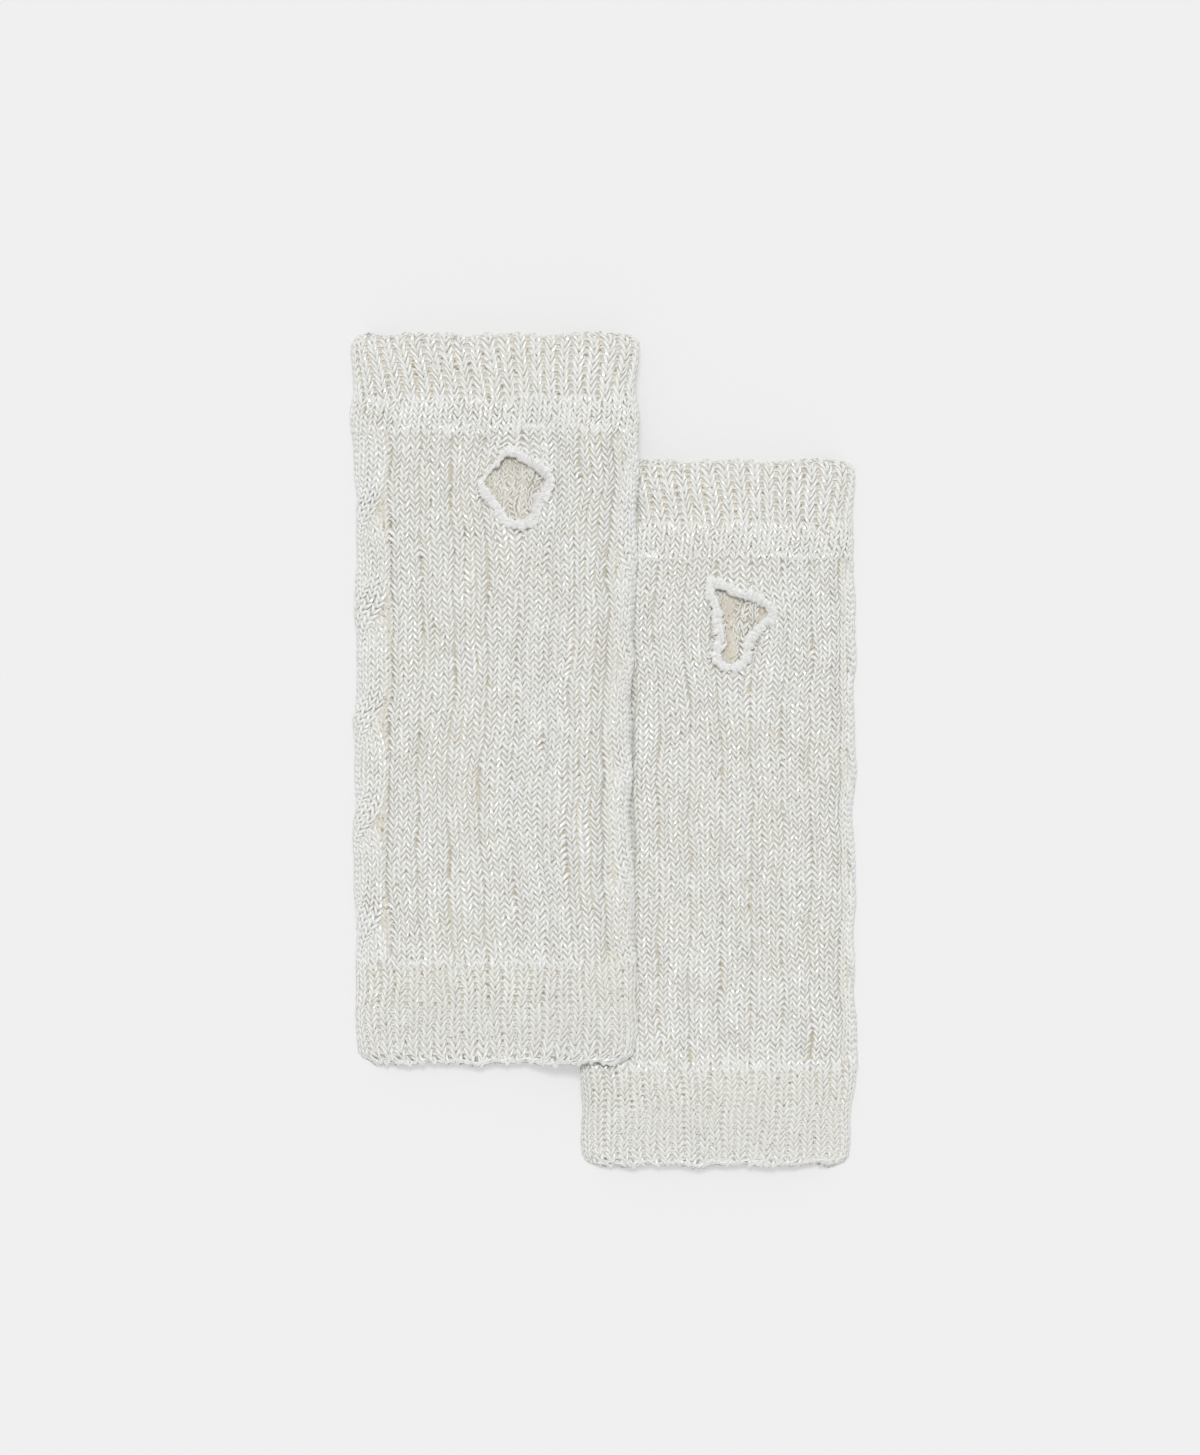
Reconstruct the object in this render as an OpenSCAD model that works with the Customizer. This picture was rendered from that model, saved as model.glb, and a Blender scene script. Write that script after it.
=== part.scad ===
// A pair of knitted fingerless gloves, laid flat with the upper glove lapping over the lower one.
// Each glove is a flattened tube: a doubled finger cuff, a ribbed hand with a bound thumb hole,
// and a wrist cuff with a chained edge. Elastic yarn is laid into both cuffs.
// Millimetres, +Z up, +Y towards the fingers, origin on the table under the middle of the pair.

/* [Pair on the table] */
// Width of the upper glove that lies on the lower one
overlap_width = 18; // [14:0.5:24]
// Distance from the upper glove's finger edge down to the lower glove's
finger_step = 35.5; // [28:0.5:42]
// Height of one glove as it lies
lay_height = 9; // [8.6:0.1:11]
// Free height between the gloves where they overlap
stack_gap = 0.5; // [0.4:0.1:2]
// Width of the slope where the upper glove climbs onto the lower one
climb_width = 22; // [18:0.5:26]
// Length of the droop where the upper glove passes the lower glove's finger edge
droop_length = 44; // [36:1:60]
// Share of the climb that is left at the end of the droop
droop_share = 0.4; // [0:0.05:1]

/* [Upper glove] */
// Length of the upper glove
upper_length = 204; // [190:1:215]
// Width of the hand tube
upper_hand_width = 79.5; // [74:0.5:84]
// Width at the finger edge
upper_finger_width = 81; // [75:0.5:85]
// Width at the wrist edge
upper_wrist_width = 78.5; // [72:0.5:84]

/* [Lower glove] */
// Length of the lower glove
lower_length = 198; // [185:1:210]
// Width of the hand tube
lower_hand_width = 78; // [74:0.5:82]
// Width at the finger edge
lower_finger_width = 77.5; // [73:0.5:82]
// Width at the wrist edge
lower_wrist_width = 74.5; // [70:0.5:80]

/* [Knit] */
// Thickness of the hand tube and wrist cuff fabric
hand_wall = 1.6; // [1.4:0.1:1.9]
// Number of wide ribs around the hand tube
rib_count = 20; // [16:2:24]
// Depth of the groove between two ribs
rib_groove = 0.6; // [0.2:0.1:0.8]
// Length over which the grooves fade into a cuff
rib_fade = 3; // [2:0.5:6]
// Radius of the rounded corners at the finger and wrist edges, seen from above
corner_radius = 3.5; // [2:0.5:5]
// Least fabric between the rounded edge of a mouth and the first elastic ring's zone
mouth_margin = 0.5; // [0.3:0.1:1]

/* [Finger cuff] */
// Height of the doubled finger cuff
finger_cuff_height = 27; // [22:0.5:34]
// Thickness of the cuff's outer layer
welt_outer = 1; // [0.8:0.1:1.1]
// Thickness of the cuff's turned-in layer
welt_inner = 0.9; // [0.7:0.1:1]
// Height of the seam zone, where the outer layer runs on below the turned-in layer
seam_zone = 7.5; // [5:0.5:10]
// Height of the linking chain that holds the turned-in layer
link_height = 3; // [2:0.25:4]

/* [Wrist cuff] */
// Height of the ribbed wrist cuff, with its chained edge
wrist_cuff_height = 27.5; // [22:0.5:34]
// Height of the chained edge
edge_height = 1.8; // [1.4:0.1:2.4]

/* [Elastic] */
// Thickness of the elastic yarn
elastic_size = 0.4; // [0.3:0.05:0.45]
// Number of elastic rings in each cuff
elastic_rings = 3; // [2:1:4]
// Clearance around the elastic yarn and the linking chain
yarn_clearance = 0.06; // [0.04:0.01:0.1]

/* [Thumb hole] */
// Distance from the finger cuff's lower edge to the middle of the upper glove's thumb hole
upper_thumb_drop = 16.5; // [15:0.5:24]
// Distance from the upper glove's centre line to the middle of its thumb hole
upper_thumb_side = 5.6; // [2:0.2:7]
// Distance from the finger cuff's lower edge to the middle of the lower glove's thumb hole
lower_thumb_drop = 19.5; // [18:0.5:26]
// Distance from the lower glove's centre line to the middle of its thumb hole
lower_thumb_side = 6.4; // [2:0.2:10]
// Width of the edging inside the hole, beyond the cut fabric
edging_rim = 1.2; // [0.8:0.1:1.6]
// Width of the edging's lips over the fabric
edging_lip = 1.9; // [1.4:0.1:2.4]
// Thickness of the edging's upper lip
edging_top = 0.9; // [0.6:0.1:1.2]
// Thickness of the edging's lower lip
edging_under = 0.45; // [0.3:0.05:0.5]
// Clearance between the edging and the fabric that it grips
edging_clearance = 0.3; // [0.25:0.05:0.4]

/* [Hidden] */

knit_colour = "#dad9d3";
seam_colour = "#e2e1db";
edging_colour = "#ecece9";
elastic_colour = "#f1f0ea";

half_lay = lay_height / 2;
// Room between the two layers of the finger cuff, which holds the elastic yarn
welt_gap = elastic_size + 2 * yarn_clearance;
welt_depth = welt_outer + welt_gap + welt_inner;
// Length at each mouth that its rounded corners, turned edge and chained edge take up
finger_mouth = max(corner_radius, welt_depth / 2 + mouth_margin);
wrist_mouth = max(corner_radius, edge_height + mouth_margin);
// Depth of the channels inside the wrist cuff, which hold the elastic yarn
channel_depth = elastic_size + yarn_clearance;

// Cut edge of each thumb hole about its middle, as corners of a closed smooth curve
upper_thumb_corners = [[-2, 9.8], [4, 7], [9.2, 2.4], [6.8, -3.4], [3.6, -9.4],
                       [-2, -9], [-6.2, -3.4], [-9.2, 1.6], [-5.4, 6.4]];
lower_thumb_corners = [[-7.2, 11.4], [0.6, 8.6], [5.8, 7], [9.4, 3.4], [6, -0.6], [2.8, -4],
                       [2, -9.2], [-2.4, -11.6], [-5.6, -8.6], [-4.6, -3], [-5.6, 4.2]];
// Steps on each stretch of a thumb hole's curve
thumb_steps = 4;

// A glove is [centre x, finger edge y, wrist edge y, finger width, hand width, wrist width, climb]
upper_reach = max(upper_finger_width, upper_hand_width, upper_wrist_width);
lower_reach = max(lower_finger_width, lower_hand_width, lower_wrist_width);
pair_width = upper_reach + lower_reach - overlap_width;
pair_length = max(finger_step + lower_length, upper_length);
upper_edge = pair_length / 2;
lower_edge = upper_edge - finger_step;
upper = [(upper_reach - pair_width) / 2, upper_edge, upper_edge - upper_length,
         upper_finger_width, upper_hand_width, upper_wrist_width, lay_height + stack_gap];
lower = [(pair_width - lower_reach) / 2, lower_edge, lower_edge - lower_length,
         lower_finger_width, lower_hand_width, lower_wrist_width, 0];

function centre_x(glove) = glove[0];
function finger_y(glove) = glove[1];
function wrist_y(glove) = glove[2];
function climb_height(glove) = glove[6];
function hand_top(glove) = finger_y(glove) - finger_cuff_height;
function hand_bottom(glove) = wrist_y(glove) + wrist_cuff_height;
function finger_high(glove) = finger_y(glove) - finger_mouth;
function wrist_low(glove) = wrist_y(glove) + wrist_mouth;

// Smooth step from 0 to 1
function ease(t) = let (u = min(max(t, 0), 1)) u * u * (3 - 2 * u);

// The upper glove is fully up where the lower glove's rounded edge has reached its full height
climb_end = centre_x(lower) - lower_hand_width / 2 + half_lay;
droop_start = finger_y(lower) - corner_radius;

// Height of a glove's underside above the table
function lay(glove, x, y) =
    climb_height(glove) * ease((x - climb_end) / climb_width + 1)
    * (1 - (1 - droop_share) * ease((y - droop_start) / droop_length));

// Narrowing at a mouth's rounded corner, at distance q from the mouth
function corner_cut(q) =
    q >= corner_radius ? 0 : corner_radius - sqrt(pow(corner_radius, 2) - pow(corner_radius - q, 2));

// Half the glove's width at y
function half_width(glove, y) =
    lookup(y, [[wrist_low(glove), glove[5] / 2], [hand_bottom(glove), glove[4] / 2],
               [hand_top(glove), glove[4] / 2], [finger_high(glove), glove[3] / 2]])
    - corner_cut(min(finger_y(glove) - y, y - wrist_y(glove)));

// A spot on the flattened section is [share of the flat half length, direction, groove]
flat_steps = 12;
arc_steps = 6;
plain_spots = concat(
    [for (i = [0:flat_steps - 1]) [2 * i / flat_steps - 1, 90, 0]],
    [for (i = [0:arc_steps - 1]) [1, 90 - 180 * i / arc_steps, 0]],
    [for (i = [0:flat_steps - 1]) [1 - 2 * i / flat_steps, -90, 0]],
    [for (i = [0:arc_steps - 1]) [-1, -90 - 180 * i / arc_steps, 0]]);

// Spot at length l round a section of flat length f and arc length a, from the middle of the top
function spot_at(l, f, a, groove) =
    l <= f / 2 ? [2 * l / f, 90, groove]
    : l <= f / 2 + a ? [1, 90 - 180 * (l - f / 2) / a, groove]
    : l <= 1.5 * f + a ? [1 - 2 * (l - f / 2 - a) / f, -90, groove]
    : l <= 1.5 * f + 2 * a ? [-1, -90 - 180 * (l - 1.5 * f - a) / a, groove]
    : [2 * (l - 2 * f - 2 * a) / f, -270, groove];

// Places and depths that draw one rib: its groove, two shoulders and a crest
rib_shape = [[0, 1], [0.16, 0.2], [0.5, 0], [0.84, 0.2]];
function ribbed_spots(glove) =
    let (f = glove[4] - lay_height, a = PI * half_lay, pitch = 2 * (f + a) / rib_count)
    [for (i = [0:rib_count - 1]) for (p = rib_shape) spot_at((i + p[0]) * pitch, f, a, p[1])];

// Point of the fabric at a spot, at y, depth d below the outer face; ribs says how much of the groove shows
function fabric_point(glove, spot, y, d, ribs) =
    let (r = half_lay - d - ribs * rib_groove * spot[2],
         x = centre_x(glove) + spot[0] * (half_width(glove, y) - half_lay) + r * cos(spot[1]))
    [x, y, half_lay + r * sin(spot[1]) + lay(glove, x, y)];

// Two triangles for each cell of a closed net of m rings with n points
function net_faces(m, n) =
    [for (j = [0:m - 1]) for (i = [0:n - 1])
        let (a = j * n + i, b = j * n + (i + 1) % n,
             c = (j + 1) % m * n + (i + 1) % n, d = (j + 1) % m * n + i)
        each [[a, b, c], [a, c, d]]];

// Band of fabric: a closed profile of [y, depth, ribs] carried round the glove's section
module knit_band(glove, spots, profile) {
    points = [for (p = profile) for (s = spots) fabric_point(glove, s, p[0], p[1], p[2])];
    polyhedron(points, net_faces(len(profile), len(spots)), convexity = 8);
}

// Stations along the hand tube from the finger cuff to the wrist cuff, with the ribs faded at both ends
hand_stations = 6;
function hand_ys(glove) =
    let (top = hand_top(glove), bottom = hand_bottom(glove),
         first = top - rib_fade, last = bottom + rib_fade)
    concat([[top, 0]],
           [for (i = [0:hand_stations - 1]) [first + (last - first) * i / (hand_stations - 1), 1]],
           [[bottom, 0]]);

// Closed smooth curve through corners
function curve_at(corners, i, t) =
    let (n = len(corners), a = corners[(i + n - 1) % n], b = corners[i], c = corners[(i + 1) % n],
         d = corners[(i + 2) % n])
    (2 * b + (c - a) * t + (2 * a - 5 * b + 4 * c - d) * t * t + (3 * b - a - 3 * c + d) * t * t * t) / 2;
function smooth_loop(corners) =
    [for (i = [0:len(corners) - 1]) for (k = [0:thumb_steps - 1]) curve_at(corners, i, k / thumb_steps)];

function thumb_middle(glove) =
    glove == upper ? [centre_x(upper) + upper_thumb_side, hand_top(upper) - upper_thumb_drop]
                   : [centre_x(lower) + lower_thumb_side, hand_top(lower) - lower_thumb_drop];
function thumb_loop(glove) =
    let (middle = thumb_middle(glove))
    [for (p = smooth_loop(glove == upper ? upper_thumb_corners : lower_thumb_corners)) middle + p];

// Ribbed tube around the hand, with the thumb hole cut through its upper layer
module hand_tube(glove) {
    ys = hand_ys(glove);
    m = len(ys);
    profile = concat([for (s = ys) [s[0], 0, s[1]]], [for (i = [m - 1:-1:0]) [ys[i][0], hand_wall, 0]]);
    loop = thumb_loop(glove);
    cut_floor = lay_height - hand_wall - edging_clearance + min([for (p = loop) lay(glove, p[0], p[1])]);
    color(knit_colour)
        difference() {
            knit_band(glove, ribbed_spots(glove), profile);
            translate([0, 0, cut_floor])
                linear_extrude(height = climb_height(glove) + lay_height) polygon(loop);
        }
}

// Middle of elastic ring i of a cuff's free height
function ring_y(low, high, i) = low + (high - low) * (i + 0.5) / elastic_rings;
function finger_ring_y(glove, i) = ring_y(hand_top(glove) + seam_zone, finger_high(glove), i);
function wrist_ring_y(glove, i) = ring_y(wrist_low(glove), hand_bottom(glove), i);

// Doubled cuff: the outer layer turns in over the finger edge and runs back down inside
module finger_cuff(glove) {
    edge = finger_y(glove);
    bottom = hand_top(glove);
    turn = welt_depth / 2;
    inside = welt_outer + welt_gap;
    up = concat([bottom + seam_zone], [for (i = [0:elastic_rings - 1]) finger_ring_y(glove, i)],
                [finger_high(glove)]);
    down = [for (i = [len(up) - 1:-1:0]) up[i]];
    profile = concat([[bottom, 0, 0]], [for (y = up) [y, 0, 0]],
                     [for (a = [0:45:180]) [edge - turn * (1 - sin(a)), turn * (1 - cos(a)), 0]],
                     [for (y = down) [y, welt_depth, 0]], [for (y = up) [y, inside, 0]],
                     [for (y = down) [y, welt_outer, 0]], [[bottom, welt_outer, 0]]);
    color(knit_colour) knit_band(glove, plain_spots, profile);
}

// Rectangular ring of yarn from y0 up to y1, between two depths
module yarn_ring(glove, y0, y1, d0, d1) {
    knit_band(glove, plain_spots, [[y1, d0, 0], [y0, d0, 0], [y0, d1, 0], [y1, d1, 0]]);
}

// Linking chain that holds the turned-in layer of the finger cuff to the outer layer
module cuff_link_seam(glove) {
    top = hand_top(glove) + seam_zone - yarn_clearance;
    color(seam_colour)
        yarn_ring(glove, top - link_height, top, welt_outer + yarn_clearance, welt_depth);
}

// Elastic yarn between the two layers of the finger cuff
module finger_elastic(glove) {
    color(elastic_colour)
        for (i = [0:elastic_rings - 1])
            let (y = finger_ring_y(glove, i))
                yarn_ring(glove, y - elastic_size / 2, y + elastic_size / 2,
                          welt_outer + yarn_clearance, welt_outer + yarn_clearance + elastic_size);
}

// Ribbed cuff round the wrist, with inner channels for the elastic yarn
module wrist_cuff(glove) {
    top = hand_bottom(glove);
    bottom = wrist_y(glove) + edge_height;
    half = elastic_size / 2 + yarn_clearance;
    floor_depth = hand_wall - channel_depth;
    channels = [for (i = [0:elastic_rings - 1])
        let (y = wrist_ring_y(glove, i))
        each [[y - half, hand_wall, 0], [y - half, floor_depth, 0],
              [y + half, floor_depth, 0], [y + half, hand_wall, 0]]];
    profile = concat([[top, 0, 0], [wrist_low(glove), 0, 0], [bottom, 0, 0], [bottom, hand_wall, 0]],
                     channels, [[top, hand_wall, 0]]);
    color(knit_colour) knit_band(glove, plain_spots, profile);
}

// Elastic yarn in the wrist cuff's channels, flush with the inner face
module wrist_elastic(glove) {
    color(elastic_colour)
        for (i = [0:elastic_rings - 1])
            let (y = wrist_ring_y(glove, i))
                yarn_ring(glove, y - elastic_size / 2, y + elastic_size / 2,
                          hand_wall - elastic_size, hand_wall);
}

// Chained edge that closes the wrist cuff's last course
module wrist_edge(glove) {
    low = wrist_y(glove);
    high = low + edge_height;
    round_off = min(hand_wall, edge_height) / 3;
    profile = [[high, 0, 0], [low + round_off, 0, 0], [low, round_off, 0],
               [low, hand_wall - round_off, 0], [low + round_off, hand_wall, 0], [high, hand_wall, 0]];
    color(knit_colour) knit_band(glove, plain_spots, profile);
}

// Overlocked edging that wraps the cut edge of the thumb hole, as a lipped ring around the loop
module thumb_edging(glove) {
    loop = thumb_loop(glove);
    n = len(loop);
    top = lay_height + edging_clearance;
    under = lay_height - hand_wall - edging_clearance;
    middle = (top + under) / 2;
    section = [[edging_lip, top], [edging_lip, top + 0.7 * edging_top], [0.4 * edging_lip, top + edging_top],
               [-0.7 * edging_rim, top + 0.4 * edging_top], [-edging_rim, middle],
               [-0.7 * edging_rim, under - 0.4 * edging_under], [0.4 * edging_lip, under - edging_under],
               [edging_lip, under - 0.7 * edging_under], [edging_lip, under],
               [-0.2 * edging_clearance, under], [-0.2 * edging_clearance, top]];
    points = [for (i = [0:n - 1])
        let (along = loop[(i + 1) % n] - loop[(i + n - 1) % n], out = [-along[1], along[0]] / norm(along))
        for (s = section)
            let (p = loop[i] + s[0] * out)
            [p[0], p[1], s[1] + lay(glove, p[0], p[1])]];
    color(edging_colour) polyhedron(points, net_faces(n, len(section)), convexity = 8);
}

hand_tube(upper);  // upper_hand_tube
finger_cuff(upper);  // upper_finger_cuff
cuff_link_seam(upper);  // upper_cuff_link_seam
finger_elastic(upper);  // upper_finger_elastic
wrist_cuff(upper);  // upper_wrist_cuff
wrist_edge(upper);  // upper_wrist_edge
wrist_elastic(upper);  // upper_wrist_elastic
thumb_edging(upper);  // upper_thumb_edging
hand_tube(lower);  // lower_hand_tube
finger_cuff(lower);  // lower_finger_cuff
cuff_link_seam(lower);  // lower_cuff_link_seam
finger_elastic(lower);  // lower_finger_elastic
wrist_cuff(lower);  // lower_wrist_cuff
wrist_edge(lower);  // lower_wrist_edge
wrist_elastic(lower);  // lower_wrist_elastic
thumb_edging(lower);  // lower_thumb_edging
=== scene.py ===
# A pair of knitted fingerless gloves in off-white yarn with a fine metallic thread, laid flat on a
# table with the upper glove lapping over the lower one. Every stitch that shows is a piece of yarn.
# Metres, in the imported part's own frame: +Z up, +Y towards the fingers.
import math
from functools import partial

import bpy
import numpy as np
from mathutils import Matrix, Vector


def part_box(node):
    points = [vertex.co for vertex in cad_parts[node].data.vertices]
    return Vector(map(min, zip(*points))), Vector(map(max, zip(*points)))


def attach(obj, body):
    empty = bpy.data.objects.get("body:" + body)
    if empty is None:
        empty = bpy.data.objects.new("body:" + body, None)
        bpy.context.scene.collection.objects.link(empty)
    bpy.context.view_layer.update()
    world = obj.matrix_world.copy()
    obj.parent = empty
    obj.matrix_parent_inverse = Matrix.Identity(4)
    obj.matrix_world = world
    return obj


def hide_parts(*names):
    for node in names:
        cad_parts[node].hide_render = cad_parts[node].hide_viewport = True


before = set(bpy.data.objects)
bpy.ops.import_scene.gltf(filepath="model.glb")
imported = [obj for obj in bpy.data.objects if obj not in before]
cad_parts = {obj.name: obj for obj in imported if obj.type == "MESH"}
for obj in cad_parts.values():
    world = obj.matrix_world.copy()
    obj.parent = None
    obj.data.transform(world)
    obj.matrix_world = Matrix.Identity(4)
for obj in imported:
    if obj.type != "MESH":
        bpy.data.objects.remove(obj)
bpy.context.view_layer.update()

# Hand tubes, ground layer: the backs of the loops that close the fabric behind the stitches.
# Soft off-white yarn, knitted in the round, so there is no side seam. The tube lies flattened,
# and the upper one climbs over the edge of the lower one and droops past its finger edge.
MM = 0.001
CORNER_RADIUS = 3.5 * MM
CLIMB_WIDTH = 22 * MM
DROOP_LENGTH = 44 * MM
DROOP_SHARE = 0.4
EDGE_HEIGHT = 1.8 * MM
HAND_WALL = 1.6 * MM
EDGE_THIN = 0.42
EDGE_SETTLE = 1.1
EDGE_REACH = 16 * MM
WRIST_THIN = 0.5
LAP_THIN = 0.15
LAP_FULL = 12 * MM
FINGER_THIN = 0.18
END_REACH = 24 * MM
PRESS_SHARE = 0.2
PRESS_WIDTH = 7 * MM
REST_PRESS = 0.3 * MM
SWELL_FADE = 12 * MM
SIDES = ("lower", "upper")

lower_hand_low, lower_hand_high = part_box("lower_hand_tube")
LAY_HEIGHT = lower_hand_high.z - lower_hand_low.z
HALF_LAY = LAY_HEIGHT / 2
CLIMB_END = lower_hand_low.x + HALF_LAY
DROOP_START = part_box("lower_finger_cuff")[1].y - CORNER_RADIUS
PRESS_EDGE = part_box("upper_hand_tube")[1].x + 1.5 * MM
LAP_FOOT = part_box("upper_wrist_edge")[0].y
PRESS_FOOT = LAP_FOOT - 2.5 * MM


def ease(t):
    u = np.clip(t, 0.0, 1.0)
    return u * u * (3.0 - 2.0 * u)


def bell(t):
    return np.exp(-t * t)


def corner_cut(q):
    reach = np.clip(CORNER_RADIUS - q, 0.0, CORNER_RADIUS)
    return CORNER_RADIUS - np.sqrt(CORNER_RADIUS**2 - reach**2)


class LaidTube:
    """One glove as it lies: a flattened tube, measured around its section, along it and out from it."""

    def __init__(self, side):
        self.side = side
        self.body = side + "_glove"
        hand_low, hand_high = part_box(side + "_hand_tube")
        cuff_low, cuff_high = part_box(side + "_finger_cuff")
        edge_low, edge_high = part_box(side + "_wrist_edge")
        self.centre_x = (hand_low.x + hand_high.x) / 2
        self.finger_y = cuff_high.y
        self.hand_top = cuff_low.y
        self.hand_bottom = hand_low.y
        self.wrist_y = edge_low.y
        self.hand_half = (hand_high.x - hand_low.x) / 2
        self.finger_half = (cuff_high.x - cuff_low.x) / 2
        self.wrist_half = (edge_high.x - edge_low.x) / 2 + float(corner_cut(EDGE_HEIGHT))
        self.climb = hand_high.z - LAY_HEIGHT
        self.flat = 2 * (self.hand_half - HALF_LAY)
        self.arc = math.pi * HALF_LAY
        self.round = 2 * (self.flat + self.arc)
        self.threaded = []

    def rise(self, x, y):
        """Height of the fabric's underside where the upper glove climbs onto the lower one."""
        droop = 1 - (1 - DROOP_SHARE) * ease((y - DROOP_START) / DROOP_LENGTH)
        pressed = self.climb - PRESS_SHARE * LAY_HEIGHT if self.side == "upper" else 0.0
        return pressed * ease((x - CLIMB_END) / CLIMB_WIDTH + 1) * droop

    def pressed(self, x, y):
        """Share of its height that the lower glove keeps where the upper one lies on it."""
        if self.side == "upper":
            return 1.0
        under = ease((PRESS_EDGE - x) / PRESS_WIDTH) * ease((y - PRESS_FOOT) / PRESS_WIDTH)
        return 1 - PRESS_SHARE * under

    def wrist_thin(self, x):
        """Share of its height that the open wrist loses, more where the upper glove laps over."""
        if self.side == "lower":
            return WRIST_THIN
        return WRIST_THIN + LAP_THIN * ease((x - CLIMB_END) / CLIMB_WIDTH + 1)

    def half_width(self, y):
        wrist, finger = self.wrist_y + CORNER_RADIUS, self.finger_y - CORNER_RADIUS
        widths = [self.wrist_half, self.hand_half, self.hand_half, self.finger_half]
        drawn = np.interp(y, [wrist, self.hand_bottom, self.hand_top, finger], widths)
        return drawn - corner_cut(np.minimum(self.finger_y - y, y - self.wrist_y))

    def slack(self, share, y):
        """Sideways give of the fabric: each edge runs in a slow wave and the waist draws in a little."""
        if self.side == "upper":
            right = -1.5 * bell((y + 4 * MM) / (48 * MM)) + 0.9 * bell((y - 91 * MM) / (7 * MM))
            left = -0.5 * bell((y - 91 * MM) / (7 * MM)) + 0.5 * bell((y - 24 * MM) / (22 * MM))
        else:
            right = 0.5 - 0.5 * bell((y - 36 * MM) / (16 * MM)) + 0.3 * bell((y + 92 * MM) / (9 * MM))
            left = 0.4 * np.sin(y / (19 * MM))
        wave = 0.22 * np.sin(y / (6.1 * MM) + 2.2 * share) + 0.18 * np.sin(y / (2.7 * MM) - 1.4 * share)
        lean = 0.5 * (1 + share) * right + 0.5 * (1 - share) * left
        return (lean + wave * np.abs(share)) * MM

    def swells(self, around, along):
        """Slow swells and creases of fabric that was put down by hand."""
        a = 2 * math.pi * around / self.round
        y = along / MM
        shift = 0.0 if self.side == "upper" else 1.7
        slow = 0.3 * np.sin(3 * a + y / 17 + shift) + 0.2 * np.sin(5 * a - y / 11 + 2 * shift)
        quick = 0.13 * np.sin(8 * a + y / 6.1 + shift) + 0.1 * np.sin(13 * a - y / 4.3 - shift)
        ends = ease((self.finger_y - along) / SWELL_FADE) * ease((along - self.wrist_y) / SWELL_FADE)
        return (slow + quick) * ends * MM

    def place(self, around, along, out):
        """Points of fabric at a length around from the middle of the upper face, along y and out."""
        l = np.mod(around, self.round)
        f, a = self.flat, self.arc
        q = math.pi / 2
        cases = [l <= f / 2, l <= f / 2 + a, l <= 1.5 * f + a, l <= 1.5 * f + 2 * a]
        shares = [2 * l / f, 1 + 0 * l, 1 - 2 * (l - f / 2 - a) / f, -1 + 0 * l]
        share = np.select(cases, shares, 2 * (l - 2 * f - 2 * a) / f)
        right = q - math.pi * (l - f / 2) / a
        left = -q - math.pi * (l - 1.5 * f - a) / a
        turn = np.select(cases, [q + 0 * l, right, -q + 0 * l, left], -3 * q)
        r = HALF_LAY + out + self.swells(around, along)
        half = self.half_width(along)
        x = self.centre_x + share * (half - HALF_LAY) + r * np.cos(turn)
        near = 1 - ease((half - np.abs(x - self.centre_x)) / EDGE_REACH)
        if self.side == "lower":
            near = near * (1 - bell((along - LAP_FOOT) / LAP_FULL) * ease((PRESS_EDGE - x) / PRESS_WIDTH))
        x = x + self.slack(share, along)
        lift = HALF_LAY + r * np.sin(turn)
        sunk = REST_PRESS * np.exp(np.minimum(lift / REST_PRESS, 1) - 1)
        lift = np.where(lift > REST_PRESS, lift, sunk)
        z = LAY_HEIGHT * (lift / LAY_HEIGHT) ** (1 + EDGE_SETTLE * near) * (1 - EDGE_THIN * near)
        z = z * (1 - self.wrist_thin(x) * (1 - ease((along - self.wrist_y) / END_REACH)))
        z = z * (1 - FINGER_THIN * (1 - ease((self.finger_y - along) / END_REACH)))
        return np.column_stack([x, along, self.rise(x, along) + z * self.pressed(x, along)])


tubes = {side: LaidTube(side) for side in SIDES}

# Grooves between the palm's ribs, from the middle of the upper face; a cable runs down each side of
# them and even ribs fill the back
PALM_GROOVES = {
    "upper": [-29.2, -20.5, -11.4, -1.8, 6.9, 14.5, 22.0, 32.1],
    "lower": [-24.6, -16.2, -7.6, 1.0, 9.4, 18.2, 25.9, 34.9],
}
BACK_RIBS = 8
CABLE_WIDTH = 17 * MM

# Cut edge of each thumb hole about its middle, as corners of a closed smooth curve, as in the part's source
THUMB_CORNERS = {
    "upper": [
        (-2, 9.8), (4, 7), (9.2, 2.4), (6.8, -3.4), (3.6, -9.4),
        (-2, -9), (-6.2, -3.4), (-9.2, 1.6), (-5.4, 6.4),
    ],
    "lower": [
        (-7.2, 11.4), (0.6, 8.6), (5.8, 7), (9.4, 3.4), (6, -0.6), (2.8, -4),
        (2, -9.2), (-2.4, -11.6), (-5.6, -8.6), (-4.6, -3), (-5.6, 4.2),
    ],
}
THUMB_SIDE = {"upper": 5.6 * MM, "lower": 6.4 * MM}
THUMB_DROP = {"upper": 16.5 * MM, "lower": 19.5 * MM}
THUMB_STEPS = 16


def smooth_loop(corners):
    points = []
    n = len(corners)
    for i in range(n):
        a, b, c, d = (np.array(corners[(i + k) % n], float) for k in (-1, 0, 1, 2))
        square, cube = 2 * a - 5 * b + 4 * c - d, 3 * b - a - 3 * c + d
        for k in range(THUMB_STEPS):
            t = k / THUMB_STEPS
            points.append((2 * b + (c - a) * t + square * t**2 + cube * t**3) / 2)
    return np.array(points)


def inside_loop(loop, x, y):
    """Which points lie inside a closed loop, by counting the sides crossed on the way out."""
    inside = np.zeros(np.shape(x), bool)
    for (x0, y0), (x1, y1) in zip(loop, np.roll(loop, -1, axis=0)):
        if y0 != y1:
            crosses = (y0 > y) != (y1 > y)
            inside ^= crosses & (x < x0 + (y - y0) * (x1 - x0) / (y1 - y0))
    return inside


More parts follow.
